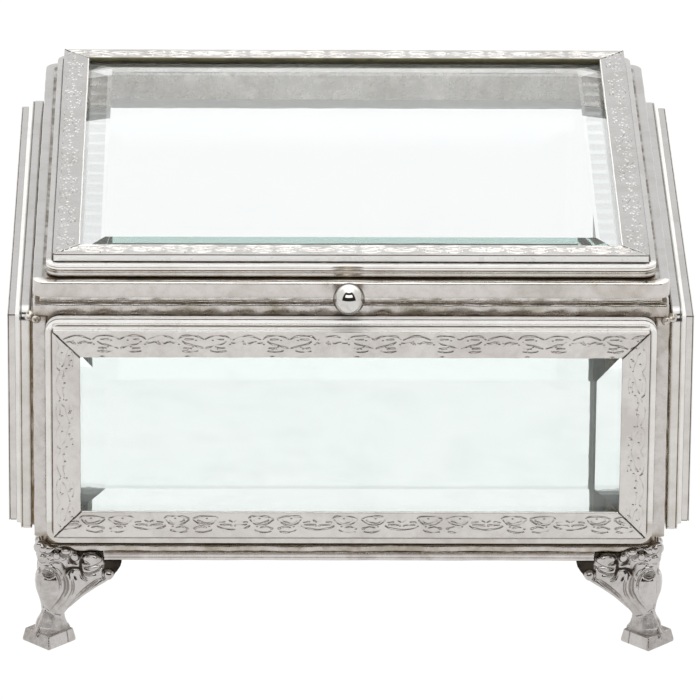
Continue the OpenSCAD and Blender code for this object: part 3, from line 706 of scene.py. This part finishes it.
def post(cx, cy, name, node, seed):
    prof = []
    half, r = 2.0, 0.7
    for i in range(4):
        a0 = 90 * i
        ox, oy = [(1, 1), (-1, 1), (-1, -1), (1, -1)][i]
        for k in range(6):
            a = math.radians(a0 + 90 * k / 5)
            prof.append((ox * (half - r) + r * math.cos(a), oy * (half - r) + r * math.sin(a)))
        nx, ny = [(1, 1), (-1, 1), (-1, -1), (1, -1)][(i + 1) % 4]
        e = prof[-1]
        b0 = math.radians(90 * (i + 1))
        f = (nx * (half - r) + r * math.cos(b0), ny * (half - r) + r * math.sin(b0))
        for k in range(1, 5):
            prof.append((e[0] + (f[0] - e[0]) * k / 5, e[1] + (f[1] - e[1]) * k / 5))
    prof = np.array(prof)
    zs = np.linspace(30.6, 90.6, 91)
    m = len(prof)
    V, D = [], []
    for z in zs:
        V.append(np.column_stack([prof + (cx, cy), np.full(m, z)]))
        e = min(z - 30.6, 90.6 - z)
        D.append(np.full(m, 0.75 * math.exp(-(e / 0.9) ** 2)))
    V = np.concatenate(V)
    F = []
    n = len(zs)
    for i in range(n - 1):
        for j in range(m):
            a, b = i * m + j, i * m + (j + 1) % m
            F.append([a, b, b + m, a + m])
    F.append(list(range(m))[::-1])
    F.append([(n - 1) * m + j for j in range(m)])
    build(name, V, F, M_POST, "casket", (node,), np.concatenate(D), wobble=0.16, wscale=7.0, seed=seed)


for i, (a, sx, b, sy) in enumerate([("front", -1, "left", -1), ("front", -1, "right", 1), ("back", 1, "left", -1), ("back", 1, "right", 1)]):
    post(sy * 78, sx * 78, f"corner_post_{a}_{b}", f"post_{a}_{b}", 41 + i)


def base_strip(k, name, node, seed):
    # section (distance inwards from n = 78.6, height from 23.2)
    sec = [(3.0, 0.0), (0.45, 0.0), (0.16, 0.07), (0.03, 0.22), (0.0, 0.5), (0.0, 0.85), (0.10, 0.92), (0.10, 1.0), (0.0, 1.07), (0.0, 1.7), (0.07, 1.76), (0.07, 1.83), (0.0, 1.9), (0.02, 2.1), (0.16, 2.28),
           (0.22, 2.42), (0.22, 2.5), (3.0, 2.5)]
    di = [0.3, 0.2, 0.1, 0, 0, 0, 0.3, 0.3, 0, 0, 0.3, 0.3, 0, 0.3, 0.8, 1, 1, 0.5]
    xs = np.concatenate([[-62.3, -62.15], np.linspace(-61.9, 61.9, 200), [62.15, 62.3]])
    m, n = len(sec), len(xs)
    V, D = [], []
    for i, x in enumerate(xs):
        inset = 0.12 if i in (0, n - 1) else (0.03 if i in (1, n - 2) else 0)
        for (d, h), dd in zip(sec, di):
            V.append((x, -(78.6 - max(d, inset)), 23.2 + min(max(h, inset), 2.5)))
            D.append(max(dd, 0.5 if inset == 0.12 else 0))
    c, s = [(1, 0), (0, 1), (-1, 0), (0, -1)][k]
    V = np.array(V)
    V = np.stack([c * V[:, 0] - s * V[:, 1], s * V[:, 0] + c * V[:, 1], V[:, 2]], 1)
    F = []
    for i in range(n - 1):
        for j in range(m):
            a, b = i * m + j, i * m + (j + 1) % m
            F.append([a, b, b + m, a + m])
    F.append(list(range(m))[::-1])
    F.append([(n - 1) * m + j for j in range(m)])
    build(name, V, F, M_BASE, "casket", (node,), D, wobble=0.07, wscale=12.0, seed=seed)


for wall, k in WALLS.items():
    base_strip(k, "base_bar_" + wall, "base_strip_" + wall, 51 + k)

# ------------------------------------------------------------------ ball pull


def lathe_y(profile, seg, origin):
    """profile: (radius, distance out along -Y). Poles at radius 0."""
    V, F = [], []
    for r, q in profile:
        for i in range(seg):
            a = 2 * math.pi * i / seg
            V.append((origin[0] + r * math.cos(a), origin[1] - q, origin[2] + r * math.sin(a)))
    m = len(profile)
    for j in range(m - 1):
        for i in range(seg):
            a, b = j * seg + i, j * seg + (i + 1) % seg
            F.append([a, b, b + seg, a + seg])
    F.append(list(range(seg))[::-1])
    F.append([(m - 1) * seg + i for i in range(seg)])
    return np.array(V), F


ball = [(0.35, -3.85), (0.9, -3.83), (1.15, -3.72), (1.2, -3.5), (1.1, -3.45), (0.8, -3.44), (0.8, -1.5), (0.8, -0.02), (2.0, 0.0), (2.1, 0.08), (2.08, 0.22), (1.9, 0.4), (1.72, 0.6), (1.56, 0.9), (1.5, 1.1), (1.5, 1.25)]
for i in range(1, 61):
    th = math.radians(22 + (179.2 - 22) * i / 60)
    ball.append((4.0 * math.sin(th), 5.0 - 4.0 * math.cos(th)))
V, F = lathe_y(ball, 96, (-0.7, -80, 97.5))
D = np.where(V[:, 1] > -80.2, 0.2, np.clip((V[:, 1] + 85.5) / 1.0, 0, 1) * 0.75)
build("ball_pull", V, F, M_KNOB, "lid", ("knob",), D, sharp=60)

# ------------------------------------------------------------------ cast feet

# The foot is drawn as one wing, in millimetres: a is the distance along the wall from the
# corner of the skeleton, z the height, b the distance from the middle of the casket. The
# other wing is its mirror image in the diagonal of the corner.


def poly_dist(pts, A, Z):
    """Signed distance to a closed outline, negative inside."""
    P = np.array(pts, float)
    d = np.full(A.shape, 1e9)
    inside = np.zeros(A.shape, bool)
    for (x0, y0), (x1, y1) in zip(P, np.roll(P, -1, 0)):
        ex, ey = x1 - x0, y1 - y0
        wx, wy = A - x0, Z - y0
        t = np.clip((wx * ex + wy * ey) / max(ex * ex + ey * ey, 1e-9), 0, 1)
        d = np.minimum(d, (wx - ex * t) ** 2 + (wy - ey * t) ** 2)
        c1 = (y0 > Z) != (y1 > Z)
        with np.errstate(divide="ignore", invalid="ignore"):
            c2 = A < ex * (Z - y0) / (ey if abs(ey) > 1e-9 else 1e-9) + x0
        inside ^= c1 & c2
    return np.where(inside, -np.sqrt(d), np.sqrt(d))


def path_dist(pts, A, Z):
    """Distance to an open smooth line, and how far along it the nearest point is (0 to 1)."""
    q = np.array(smooth_line([tuple(p) for p in pts], 5), float)
    L = np.concatenate([[0], np.cumsum(np.hypot(*np.diff(q, axis=0).T))])
    d = np.full(A.shape, 1e9)
    s = np.zeros(A.shape)
    for i in range(len(q) - 1):
        (x0, y0), (x1, y1) = q[i], q[i + 1]
        ex, ey = x1 - x0, y1 - y0
        t = np.clip(((A - x0) * ex + (Z - y0) * ey) / max(ex * ex + ey * ey, 1e-9), 0, 1)
        e = (A - x0 - ex * t) ** 2 + (Z - y0 - ey * t) ** 2
        near = e < d
        d = np.where(near, e, d)
        s = np.where(near, (L[i] + t * (L[i + 1] - L[i])) / L[-1], s)
    return np.sqrt(d), s


WING_FRONT = [(1.9, 22.0), (2.2, 12.0), (3.2, 9.0), (5.5, 7.2), (7.3, 7.4), (8.3, 9.0), (9.6, 10.6), (12.4, 13.4), (15.6, 15.75), (18.0, 17.1), (19.3, 18.0), (20.1, 19.0),
              (19.9, 20.2), (18.9, 20.7), (17.9, 20.9), (17.9, 22.2), (17.2, 23.9), (15.9, 25.1), (14.2, 25.5), (12.7, 25.1), (11.95, 24.2), (11.75, 23.6), (11.4, 24.5), (10.7, 25.7),
              (9.3, 26.8), (7.9, 27.25), (6.4, 27.1), (5.2, 27.5), (3.8, 27.95), (2.6, 28.4), (1.2, 29.0), (0.2, 29.1), (-1.2, 29.1), (-1.2, 22.0)]
WING_BACK = [(1.9, 20.0), (2.4, 10.0), (5.4, 8.3), (6.6, 7.8), (7.4, 8.2), (8.9, 10.3), (11.6, 13.5), (14.9, 16.2), (17.4, 17.7), (19.6, 18.6), (21.0, 20.0), (21.9, 21.5), (22.25, 22.9), (22.0, 23.1), (17.66, 23.12), (17.6, 25.64), (1.9, 25.64)]
RIDGES = [  # line, height, width
    ([(6.76, 18.95), (7.17, 17.1), (6.95, 14.8), (5.67, 12.26), (3.95, 9.72), (2.9, 8.0)], 0.42, 0.52),
    ([(8.66, 19.64), (9.07, 17.57), (9.06, 15.26), (7.78, 12.49), (5.87, 10.41), (4.38, 8.1)], 0.34, 0.50),
    ([(11.6, 20.45), (10.56, 20.55), (9.95, 20.0), (9.85, 18.95), (10.5, 16.88), (10.11, 14.34), (8.62, 11.57), (6.8, 9.26), (5.9, 7.41)], 0.26, 0.42),
    ([(17.8, 18.1), (15.5, 16.5), (13.2, 14.7), (10.9, 12.4), (9.0, 10.1), (7.6, 8.1), (7.0, 6.6)], 0.40, 0.60),
    ([(1.6, 20.9), (2.99, 21.50), (4.46, 21.28), (5.72, 20.36), (6.76, 18.95)], 0.34, 0.42),
    ([(3.3, 22.3), (4.2, 23.2), (5.8, 23.45), (7.1, 22.8), (7.9, 21.5)], 0.30, 0.45),
    ([(8.9, 22.9), (9.0, 21.6), (9.9, 21.3), (11.5, 21.5)], 0.22, 0.4),
    ([(12.6, 22.0), (14.3, 21.9), (16.0, 22.5), (17.2, 23.4)], 0.16, 0.4),
    ([(12.3, 20.5), (14.2, 20.6), (16.2, 21.4), (17.5, 22.4)], 0.20, 0.5),
]
VALLEYS = [
    ([(8.13, 20.2), (7.75, 18.95), (8.12, 17.11), (7.9, 14.8), (6.51, 12.26), (4.81, 10.41), (3.53, 8.6)], 0.42, 0.30),
    ([(11.83, 21.03), (9.72, 21.25), (8.6, 20.6), (8.13, 19.5)], 0.45, 0.26),
    ([(9.5, 19.2), (9.75, 17.0), (9.6, 14.6), (8.2, 12.0), (6.3, 9.9), (5.1, 8.0)], 0.26, 0.24),
    ([(17.4, 18.97), (14.55, 16.89), (12.22, 14.81), (10.1, 12.27), (8.4, 9.95), (7.2, 8.3)], 0.38, 0.24),
    ([(2.2, 20.6), (3.0, 20.95), (4.4, 20.75), (5.4, 19.9), (6.1, 18.7), (6.5, 17.0), (6.2, 14.6), (5.0, 12.1), (3.5, 9.8)], 0.20, 0.22),
    ([(4.04, 21.95), (4.68, 22.85), (5.73, 22.97), (6.7, 22.5), (7.4, 21.3), (7.6, 20.4)], 0.34, 0.22),
    ([(1.3, 26.1), (2.2, 25.35), (3.3, 25.0), (4.3, 25.15), (4.75, 25.9), (5.4, 26.25), (6.3, 26.1), (6.9, 25.1), (7.6, 24.7), (8.5, 24.6), (9.31, 23.09), (10.36, 22.45), (11.42, 22.45)], 0.50, 0.26),
    ([(11.8, 23.5), (11.75, 21.8), (11.95, 20.2), (12.4, 18.9), (13.4, 18.1)], 0.50, 0.26),
    ([(12.20, 23.75), (12.40, 22.75), (13.1, 22.35), (14.2, 22.4)], 0.55, 0.24),
    ([(12.9, 23.5), (13.2, 23.0), (13.8, 23.0)], 0.35, 0.18),
    ([(11.9, 21.45), (13.52, 21.68), (15.63, 22.18), (17.2, 23.2)], 0.42, 0.20),
    ([(12.1, 19.65), (14.14, 19.9), (16.25, 20.8), (17.6, 22.0)], 0.42, 0.20),
    ([(17.9, 20.9), (17.4, 19.9), (17.5, 18.9), (18.0, 18.0)], 0.32, 0.20),
    ([(3.1, 24.4), (4.0, 23.9)], 0.2, 0.3), ([(8.2, 23.8), (8.9, 22.4)], 0.2, 0.25),
]
BOSSES = [  # centre, radii, height
    ((3.9, 14.6), (3.0, 6.0), 0.60), ((2.2, 26.7), (1.0, 1.1), 0.40), ((4.2, 26.6), (1.25, 0.95), 0.25), ((5.75, 24.9), (1.05, 1.15), 0.55), ((8.0, 26.0), (1.4, 1.0), 0.38),
    ((7.3, 24.1), (0.85, 0.8), 0.35), ((10.3, 24.4), (1.15, 1.3), 0.45), ((14.7, 23.6), (2.6, 1.9), 0.50), ((14.5, 21.0), (2.9, 1.3), 0.38), ((13.9, 19.1), (1.8, 0.8), 0.20),
    ((19.0, 19.4), (1.25, 1.45), 0.45), ((2.0, 23.6), (1.4, 1.3), 0.22), ((15.6, 24.2), (0.7, 0.5), 0.15),
]
PIT = [(1.9, 20.3), (2.6, 20.55), (3.6, 20.35), (5.2, 19.5), (4.9, 19.0), (3.7, 18.55), (2.4, 18.9)]


def foot_relief(A, Z):
    h = np.zeros(A.shape)
    grime_and_painted_light = np.zeros(A.shape)
    for c, r, k in BOSSES:
        q = ((A - c[0]) / r[0]) ** 2 + ((Z - c[1]) / r[1]) ** 2
        h += 1.7 * k * np.clip(1 - q, 0, 1) ** 0.75
    for ln, k, w in RIDGES:
        d, s = path_dist(ln, A, Z)
        h += 1.35 * k * np.exp(-(d / w) ** 2) * np.clip(0.25 + 3 * np.minimum(s, 1 - s), 0, 1)
    for ln, k, w in VALLEYS:
        d, s = path_dist(ln, A, Z)
        t = np.clip(0.15 + 5 * np.minimum(s, 1 - s), 0, 1)
        h -= 1.5 * k * np.exp(-(d / (w * 1.35)) ** 2) * t
        grime_and_painted_light = np.maximum(grime_and_painted_light, min(1.0, 1.5 * k) * np.exp(-(d / (w * 0.6)) ** 2) * t)
    d = poly_dist(PIT, A, Z)
    f = np.clip(0.5 - d / 0.5, 0, 1)
    h -= 0.85 * f * f * (3 - 2 * f)
    grime_and_painted_light = np.maximum(grime_and_painted_light, np.clip(0.55 - d / 0.35, 0, 1))
    return h, grime_and_painted_light


def smin(a, b, k):
    h = np.clip(0.5 + 0.5 * (b - a) / k, 0, 1)
    return b * (1 - h) + a * h - k * h * (1 - h)


def smax(a, b, k):
    return -smin(-a, -b, k)


def lerp_curve(z, pts):
    q = np.array(pts, float)
    return np.interp(z, q[:, 0], q[:, 1])


def capsules(P, pts):
    """Smooth chain of round-ended links. P is a list of three arrays, pts are (x, y, z, r)."""
    out = None
    for p, q in zip(pts[:-1], pts[1:]):
        e = np.array(q[:3]) - np.array(p[:3])
        L = float(e @ e)
        t = np.clip(sum((P[i] - p[i]) * e[i] for i in range(3)) / L, 0, 1)
        d = np.sqrt(sum((P[i] - p[i] - e[i] * t) ** 2 for i in range(3))) - (p[3] + (q[3] - p[3]) * t)
        out = d if out is None else smin(out, d, 0.3)
    return out


def surface_net(G, org, h):
    """Closed mesh of the surface where G changes sign; G is negative inside."""
    neg = G < 0
    n = G.shape
    cell = np.zeros((n[0] - 1, n[1] - 1, n[2] - 1), np.int16)
    for i in (0, 1):
        for j in (0, 1):
            for k in (0, 1):
                cell += neg[i:n[0] - 1 + i, j:n[1] - 1 + j, k:n[2] - 1 + k]
    act = (cell > 0) & (cell < 8)
    I, J, K = np.nonzero(act)
    idx = np.full(cell.shape, -1, np.int64)
    idx[I, J, K] = np.arange(len(I))
    acc = np.zeros((len(I), 3))
    cnt = np.zeros(len(I))
    for ax in range(3):
        o = [a for a in range(3) if a != ax]
        for p in (0, 1):
            for q in (0, 1):
                off = [0, 0, 0]
                off[o[0]], off[o[1]] = p, q
                f0 = G[I + off[0], J + off[1], K + off[2]]
                off2 = list(off)
                off2[ax] = 1
                f1 = G[I + off2[0], J + off2[1], K + off2[2]]
                m = (f0 < 0) != (f1 < 0)
                t = np.where(m, f0 / np.where(m, f0 - f1, 1), 0)
                pos = np.zeros((len(I), 3))
                pos[:, ax] = t
                pos[:, o[0]] = p
                pos[:, o[1]] = q
                acc += pos * m[:, None]
                cnt += m
    V = (np.stack([I, J, K], 1) + acc / cnt[:, None]) * h + np.array(org)
    F = []
    for ax in range(3):
        o = [(ax + 1) % 3, (ax + 2) % 3]
        a = [slice(None)] * 3
        b = [slice(None)] * 3
        a[ax], b[ax] = slice(0, -1), slice(1, None)
        flip = neg[tuple(a)] != neg[tuple(b)]
        e = np.array(np.nonzero(flip))
        ok = (e[o[0]] > 0) & (e[o[1]] > 0) & (e[o[0]] < n[o[0]] - 1) & (e[o[1]] < n[o[1]] - 1)
        e = e[:, ok]
        quad = []
        for p, q in ((-1, -1), (0, -1), (0, 0), (-1, 0)):
            c = e.copy()
            c[o[0]] += p
            c[o[1]] += q
            quad.append(idx[c[0], c[1], c[2]])
        quad = np.stack(quad, 1)
        inside = neg[e[0], e[1], e[2]]
        quad = np.where(inside[:, None], quad, quad[:, ::-1])
        F.append(quad)
    return V, np.concatenate(F)


def cast_foot(step):
    lo, hi = 57.2, 84.2
    ax = np.arange(lo, hi, step)
    az_ = np.arange(-0.5, 30.0, step)
    A2, Z2 = np.meshgrid(80.0 - ax, az_, indexing="ij")
    rel, _ = foot_relief(A2, Z2)
    front = poly_dist(WING_FRONT, A2, Z2)
    back = poly_dist(WING_BACK, A2, Z2)
    low = np.maximum(back, Z2 - 25.64)
    a = A2[:, None, :]
    z = Z2[:, None, :]
    X = ax[:, None, None]
    Y = ax[None, :, None]
    # front face of the wing: it leans out to the shell edge, and in under the hood
    bf = lerp_curve(az_, [(6, 77.1), (8, 77.2), (9.5, 77.35), (11.8, 78.0), (14.5, 78.75), (16.5, 78.95), (18, 78.9), (19.5, 78.65), (21, 78.35), (22.5, 78.6), (24, 79.0), (26, 79.4), (28, 79.5), (29.1, 79.2)])[None, None, :]
    bf = bf + 0.35 * np.clip((a - 7) / 6, 0, 1) * np.clip((z - 8) / 8, 0, 1)
    r_leg = lerp_curve(az_, [(0, 4.0), (3.3, 3.9), (4.4, 3.1), (6, 2.6), (8, 2.4), (9.5, 2.5), (11.8, 3.1), (14.5, 3.9), (16.5, 4.15), (18, 4.1), (19.5, 3.85), (21, 3.6), (22.5, 3.9), (24, 4.3), (25.7, 4.5)])[None, None, :]
    leg = np.sqrt((X - 75) ** 2 + (Y - 75) ** 2) - r_leg
    leg = smax(leg, np.maximum(z - 25.62, 2.9 - z), 0.25)
    wing = smax(smax(front[:, None, :], Y - bf, 1.4), 77.4 - Y, 0.5)
    # above the underside of the rail the wing is only the part in front of it
    wing = np.maximum(wing, np.where(z > 25.64, 78.68 - Y, -9.0))
    rear = smax(smax(low[:, None, :], Y - 78.35, 0.3), 76.0 - Y, 0.5)
    G = smin(leg, wing, 1.0)
    shown = np.clip((Y - 76.9) / 1.0, 0, 1)
    G = G - rel[:, None, :] * shown * np.clip(1.2 - np.abs(G) / 1.6, 0, 1)
    G = smin(G, rear, 0.7)
    # the leg spreads to the base block, with a thin ridge down the diagonal
    P3 = [X + 0 * Y + 0 * z, Y + 0 * X + 0 * z, z + 0 * X + 0 * Y]
    G = smin(G, capsules(P3, [(75.6, 75.6, 9.0, 2.0), (76.3, 76.3, 6.4, 2.5), (76.5, 76.5, 4.6, 3.3), (76.5, 76.5, 3.2, 3.9)]), 1.2)
    g = 1 / math.sqrt(2)
    G = smin(G, capsules(P3, [(109.4 * g, 109.4 * g, 8.8, 0.35), (110.4 * g, 110.4 * g, 6.6, 0.45), (111.6 * g, 111.6 * g, 5.0, 0.45), (112.7 * g, 112.7 * g, 3.7, 0.42), (113.2 * g, 113.2 * g, 2.4, 0.25)]), 0.4)
    # the half is mirrored in the diagonal
    i = np.arange(len(ax))
    keep = (i[:, None] <= i[None, :])[:, :, None]
    G = np.where(keep, G, G.transpose(1, 0, 2))
    # base block, square to the diagonal, its outer faces panelled
    s = (X + Y - 152.8) * g
    t = (X - Y) * g
    half = lerp_curve(az_, [(0.0, 4.62), (0.35, 4.84), (0.8, 4.84), (3.3, 4.36), (3.7, 4.28)])[None, None, :]
    groove = 0.11 * np.exp(-((s + 2.1) / 0.16) ** 2) * (np.abs(t) > 3.0) + 0.08 * np.exp(-((z - 0.75) / 0.14) ** 2) * (s > -2.1) * (s < 4.3) * (np.abs(t) > 3.0)
    block = smax(smax(np.abs(s) - half, np.abs(t) - half + groove, 0.22), np.maximum(z - 3.55, 0.0 - z), 0.18)
    G = smin(G, block, 0.35)
    G[:, :, az_ < 0.0] = 0.3
    V, F = surface_net(G.astype(np.float64), (lo, lo, -0.5), step)
    V[:, 2] = np.maximum(V[:, 2], 0.0)
    m = np.minimum(V[:, 0], V[:, 1])
    M = np.maximum(V[:, 0], V[:, 1])
    _, grime_and_painted_light = foot_relief(80.0 - m, V[:, 2])
    grime_and_painted_light = 0.62 * grime_and_painted_light * np.clip((M - 77.0) / 0.8, 0, 1)
    zz = V[:, 2]
    # painted shade: the plate behind the wing tip is marked far above 1, which gives it the near-black finish below
    grime_and_painted_light = np.maximum(grime_and_painted_light, 1.6 * np.clip((78.75 - M) / 0.3, 0, 1) * np.clip((zz - 17.5) / 1.5, 0, 1) * np.clip((80.0 - m - 6.0) / 2.0, 0, 1))
    s = (V[:, 0] + V[:, 1] - 152.8) * g
    t = (V[:, 0] - V[:, 1]) * g
    top = np.clip((zz - 3.3) / 0.2, 0, 1) * np.clip((4.1 - zz) / 0.4, 0, 1)
    grime_and_painted_light = np.maximum(grime_and_painted_light, 0.35 * top)
    grime_and_painted_light = np.maximum(grime_and_painted_light, 0.9 * np.exp(-((s + 2.1) / 0.17) ** 2) * (np.abs(t) > 3.6) * (zz < 3.5))
    grime_and_painted_light = np.maximum(grime_and_painted_light, 0.5 * np.clip((0.30 - zz) / 0.2, 0, 1))
    grime_and_painted_light = np.maximum(grime_and_painted_light, 0.30 * (s > 4.0) * (zz < 3.4))
    grime_and_painted_light = np.maximum(grime_and_painted_light, 0.5 * np.exp(-((t - 0.95) / 0.3) ** 2) * np.clip((s - 1.8) / 0.8, 0, 1) * np.clip((8.0 - zz) / 1.5, 0, 1) * np.clip((zz - 3.6) / 0.6, 0, 1))
    return V, F, grime_and_painted_light


fV, fF, fD = cast_foot(0.17)
for name, node, sx, sy in (("cast_foot_front_left", "foot_front_left", -1, -1), ("cast_foot_front_right", "foot_front_right", 1, -1),
                           ("cast_foot_back_left", "foot_back_left", -1, 1), ("cast_foot_back_right", "foot_back_right", 1, 1)):
    ob = build(name, fV * np.array([sx, sy, 1.0]), fF, M_FOOT, "casket", (node,), fD, sharp=60)
    ob.data.materials.append(M_FOOT_PAINTED_SHADE)
    ob.data.materials.append(M_FOOTCAST)
    for f in ob.data.polygons:
        # painted shade: near-black finish for the plate behind the wing tip
        if all(fD[v] > 1.0 for v in f.vertices):
            f.material_index = 1
        elif 0.0033 < f.center.z < 0.0088 and f.normal.z > 0.08:
            # the spread above the block was never polished
            f.material_index = 2

# ------------------------------------------------------------------ solder at the tops of the front posts

def solder_blob(c, r, seed, nu=40, nv=24):
    th = np.pi * (np.arange(1, nv) / nv)
    ph = 2 * np.pi * np.arange(nu) / nu
    T2, P2 = np.meshgrid(th, ph, indexing="ij")
    N = np.stack([np.sin(T2) * np.cos(P2), np.sin(T2) * np.sin(P2), np.cos(T2)], -1).reshape(-1, 3)
    N = np.vstack([N, [[0, 0, 1.0], [0, 0, -1.0]]])
    w = wob(N * 1.3, 2.6, seed)
    pit = np.clip(wob(N * 1.3, 1.7, seed + 9) - 0.55, 0, 1)
    V = np.array(c) + N * np.array(r) * (1 + 0.13 * w - 0.35 * pit)[:, None]
    F = [[q * nu + i, (q + 1) * nu + i, (q + 1) * nu + (i + 1) % nu, q * nu + (i + 1) % nu] for q in range(nv - 2) for i in range(nu)]
    F += [[len(N) - 2, i, (i + 1) % nu] for i in range(nu)]
    F += [[(nv - 2) * nu + (i + 1) % nu, (nv - 2) * nu + i, len(N) - 1] for i in range(nu)]
    return V, F, np.clip(0.15 + 2.2 * pit + 0.5 * np.clip(-w - 0.2, 0, 1), 0, 1)


for side, sx in (("left", -1), ("right", 1)):
    for q, (cx, cy, cz, r) in enumerate(((80.7, -78.2, 89.9, (1.25, 1.7, 1.2)), (79.0, -80.4, 89.9, (1.15, 0.9, 1.0)))):
        V, F, D = solder_blob((sx * cx, cy, cz), r, 301 + 7 * q + (sx > 0))
        build(f"solder_{side}_{q}", V, F, M_SOLDER, "casket", (), D, sharp=80)

# ------------------------------------------------------------------ floor plate: clear glass, silvered underneath

fb = np.array([[float(c) * 1000 for c in p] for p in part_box("floor_mirror")])
(fx0, fy0, fz0), (fx1, fy1, fz1) = fb
ch = 0.25
V, F = [], []
for h, q in ((fz0, 0.0), (fz1 - ch, 0.0), (fz1, ch)):
    V += [(fx0 + q, fy0 + q, h), (fx1 - q, fy0 + q, h), (fx1 - q, fy1 - q, h), (fx0 + q, fy1 - q, h)]
F = [[3, 2, 1, 0]] + [[4 * r + i, 4 * r + (i + 1) % 4, 4 * r + 4 + (i + 1) % 4, 4 * r + 4 + i] for r in (0, 1) for i in range(4)] + [[8, 9, 10, 11]]
plate = build("mirror_plate", V, F, M_FLOORGLASS, "casket", ("floor_mirror",), sharp=20)
plate.data.materials.append(M_MIRROR)
for f in plate.data.polygons:
    if f.normal.z < -0.9:
        f.material_index = 1

# ------------------------------------------------------------------ nodes that keep their own shape


def dress(node, mat, slot):
    o = NODES[node]
    o.data.materials.clear()
    o.data.materials.append(mat)


for n in ("front_glass", "back_glass", "left_glass", "right_glass", "lid_glass"):
    dress(n, M_GLASS, "bevelled_glass")
for n in ("hinge_leaf_body_left", "hinge_leaf_body_right", "hinge_leaf_lid_left", "hinge_leaf_lid_right", "hinge_pins"):
    dress(n, M_HINGE, "hinge_metal")

# ------------------------------------------------------------------ stage, light and camera

fl = bpy.data.meshes.new("floor")
fl.from_pydata([(-3, -3, 0), (3, -3, 0), (3, 3, 0), (-3, 3, 0)], [], [[0, 1, 2, 3]])
floor = bpy.data.objects.new("floor", fl)
bpy.context.scene.collection.objects.link(floor)
floor.location.z = -0.0002
ft = bpy.data.materials.new("pale_floor")
ft.use_nodes = True
nt = ft.node_tree
nt.nodes.clear()
em = nt.nodes.new("ShaderNodeEmission")
em.inputs["Color"].default_value = (1.0, 1.0, 1.0, 1.0)
em.inputs["Strength"].default_value = 1.02
o = nt.nodes.new("ShaderNodeOutputMaterial")
nt.links.new(em.outputs[0], o.inputs[0])
fl.materials.append(ft)

world = bpy.data.worlds.new("studio")
bpy.context.scene.world = world
world.use_nodes = True
wt = world.node_tree
wt.nodes.clear()


def wn(kind, **kw):
    n = wt.nodes.new(kind)
    for k, v in kw.items():
        setattr(n, k, v)
    return n


def wmath(op, a, b=None, clamp=False):
    n = wn("ShaderNodeMath", operation=op)
    n.use_clamp = clamp
    for i, v in enumerate((a, b)):
        if v is None:
            continue
        if isinstance(v, (int, float)):
            n.inputs[i].default_value = v
        else:
            wt.links.new(v, n.inputs[i])
    return n.outputs[0]


def wstep(v, a, b):
    """0 below a, 1 above b, smooth between; a > b turns it round."""
    n = wn("ShaderNodeMapRange", interpolation_type="SMOOTHSTEP")
    wt.links.new(v, n.inputs["Value"])
    lo, hi = (a, b) if a < b else (b, a)
    n.inputs["From Min"].default_value = lo
    n.inputs["From Max"].default_value = hi
    n.inputs["To Min"].default_value = 0.0 if a < b else 1.0
    n.inputs["To Max"].default_value = 1.0 if a < b else 0.0
    return n.outputs["Result"]


tc = wn("ShaderNodeTexCoord").outputs["Generated"]
sep = wn("ShaderNodeSeparateXYZ")
wt.links.new(tc, sep.inputs[0])
X, Y, Z = sep.outputs
deg = 180 / math.pi
elev = wmath("MULTIPLY", wmath("ARCSINE", Z), deg)
az = wmath("MULTIPLY", wmath("ABSOLUTE", wmath("ARCTAN2", X, wmath("MULTIPLY", Y, -1.0))), deg)  # 0 towards the camera
# the open front of a light tent, dark, with the front lamp in it
openm = wmath("MULTIPLY", wmath("MULTIPLY", wstep(elev, 2, 5), wstep(elev, 68, 62)), wstep(az, 54, 48))
lamp = wmath("MULTIPLY", wmath("MULTIPLY", wstep(elev, 28, 31), wstep(elev, 50, 47)), wstep(az, 34, 30))
roof = wstep(elev, 45, 80)
sides = wmath("MULTIPLY", wstep(az, 48, 75), 1.0)
base = wmath("ADD", 1.02, wmath("MULTIPLY", roof, 1.0))
back = wmath("MULTIPLY", wstep(az, 100, 150), wmath("ADD", 0.13, wmath("MULTIPLY", wstep(elev, 28, 38), 0.8)))
low = wmath("MULTIPLY", wstep(elev, 6, -6), -0.25)
base = wmath("ADD", wmath("ADD", base, back), low)
dark = wmath("MULTIPLY", openm, wmath("SUBTRACT", 1.0, lamp))
val = wmath("ADD", wmath("MULTIPLY", base, wmath("SUBTRACT", 1.0, dark)), wmath("MULTIPLY", wmath("MULTIPLY", openm, lamp), 0.8))
val = wmath("MAXIMUM", val, 0.03)
bg = wn("ShaderNodeBackground")
bg.inputs["Color"].default_value = (1.0, 0.995, 0.985, 1.0)
wt.links.new(val, bg.inputs["Strength"])
wo = wn("ShaderNodeOutputWorld")
wt.links.new(bg.outputs[0], wo.inputs[0])

yaw, el, roll = math.radians(0.9038), math.radians(22.1566), math.radians(-0.4637)
fw = np.array([math.sin(yaw) * math.cos(el), math.cos(yaw) * math.cos(el), -math.sin(el)])
rt = np.array([math.cos(yaw), -math.sin(yaw), 0.0])
up = np.cross(rt, fw)
rx = rt * math.cos(roll) - up * math.sin(roll)
uy = rt * math.sin(roll) + up * math.cos(roll)
cam_data = bpy.data.cameras.new("camera")
cam_data.sensor_width = 36.0
cam_data.lens = 8091.8 * 36.0 / 700.0
cam_data.clip_start = 0.1
cam_data.clip_end = 20.0
cam = bpy.data.objects.new("camera", cam_data)
bpy.context.scene.collection.objects.link(cam)
cam.matrix_world = Matrix(((rx[0], uy[0], -fw[0], -0.029947), (rx[1], uy[1], -fw[1], -1.963188), (rx[2], uy[2], -fw[2], 0.848625), (0, 0, 0, 1)))
bpy.context.scene.camera = cam

bpy.context.scene.view_settings.view_transform = "Standard"
bpy.context.scene.cycles.max_bounces = 72
bpy.context.scene.cycles.transmission_bounces = 24
bpy.context.scene.cycles.glossy_bounces = 64

bpy.context.view_layer.update()
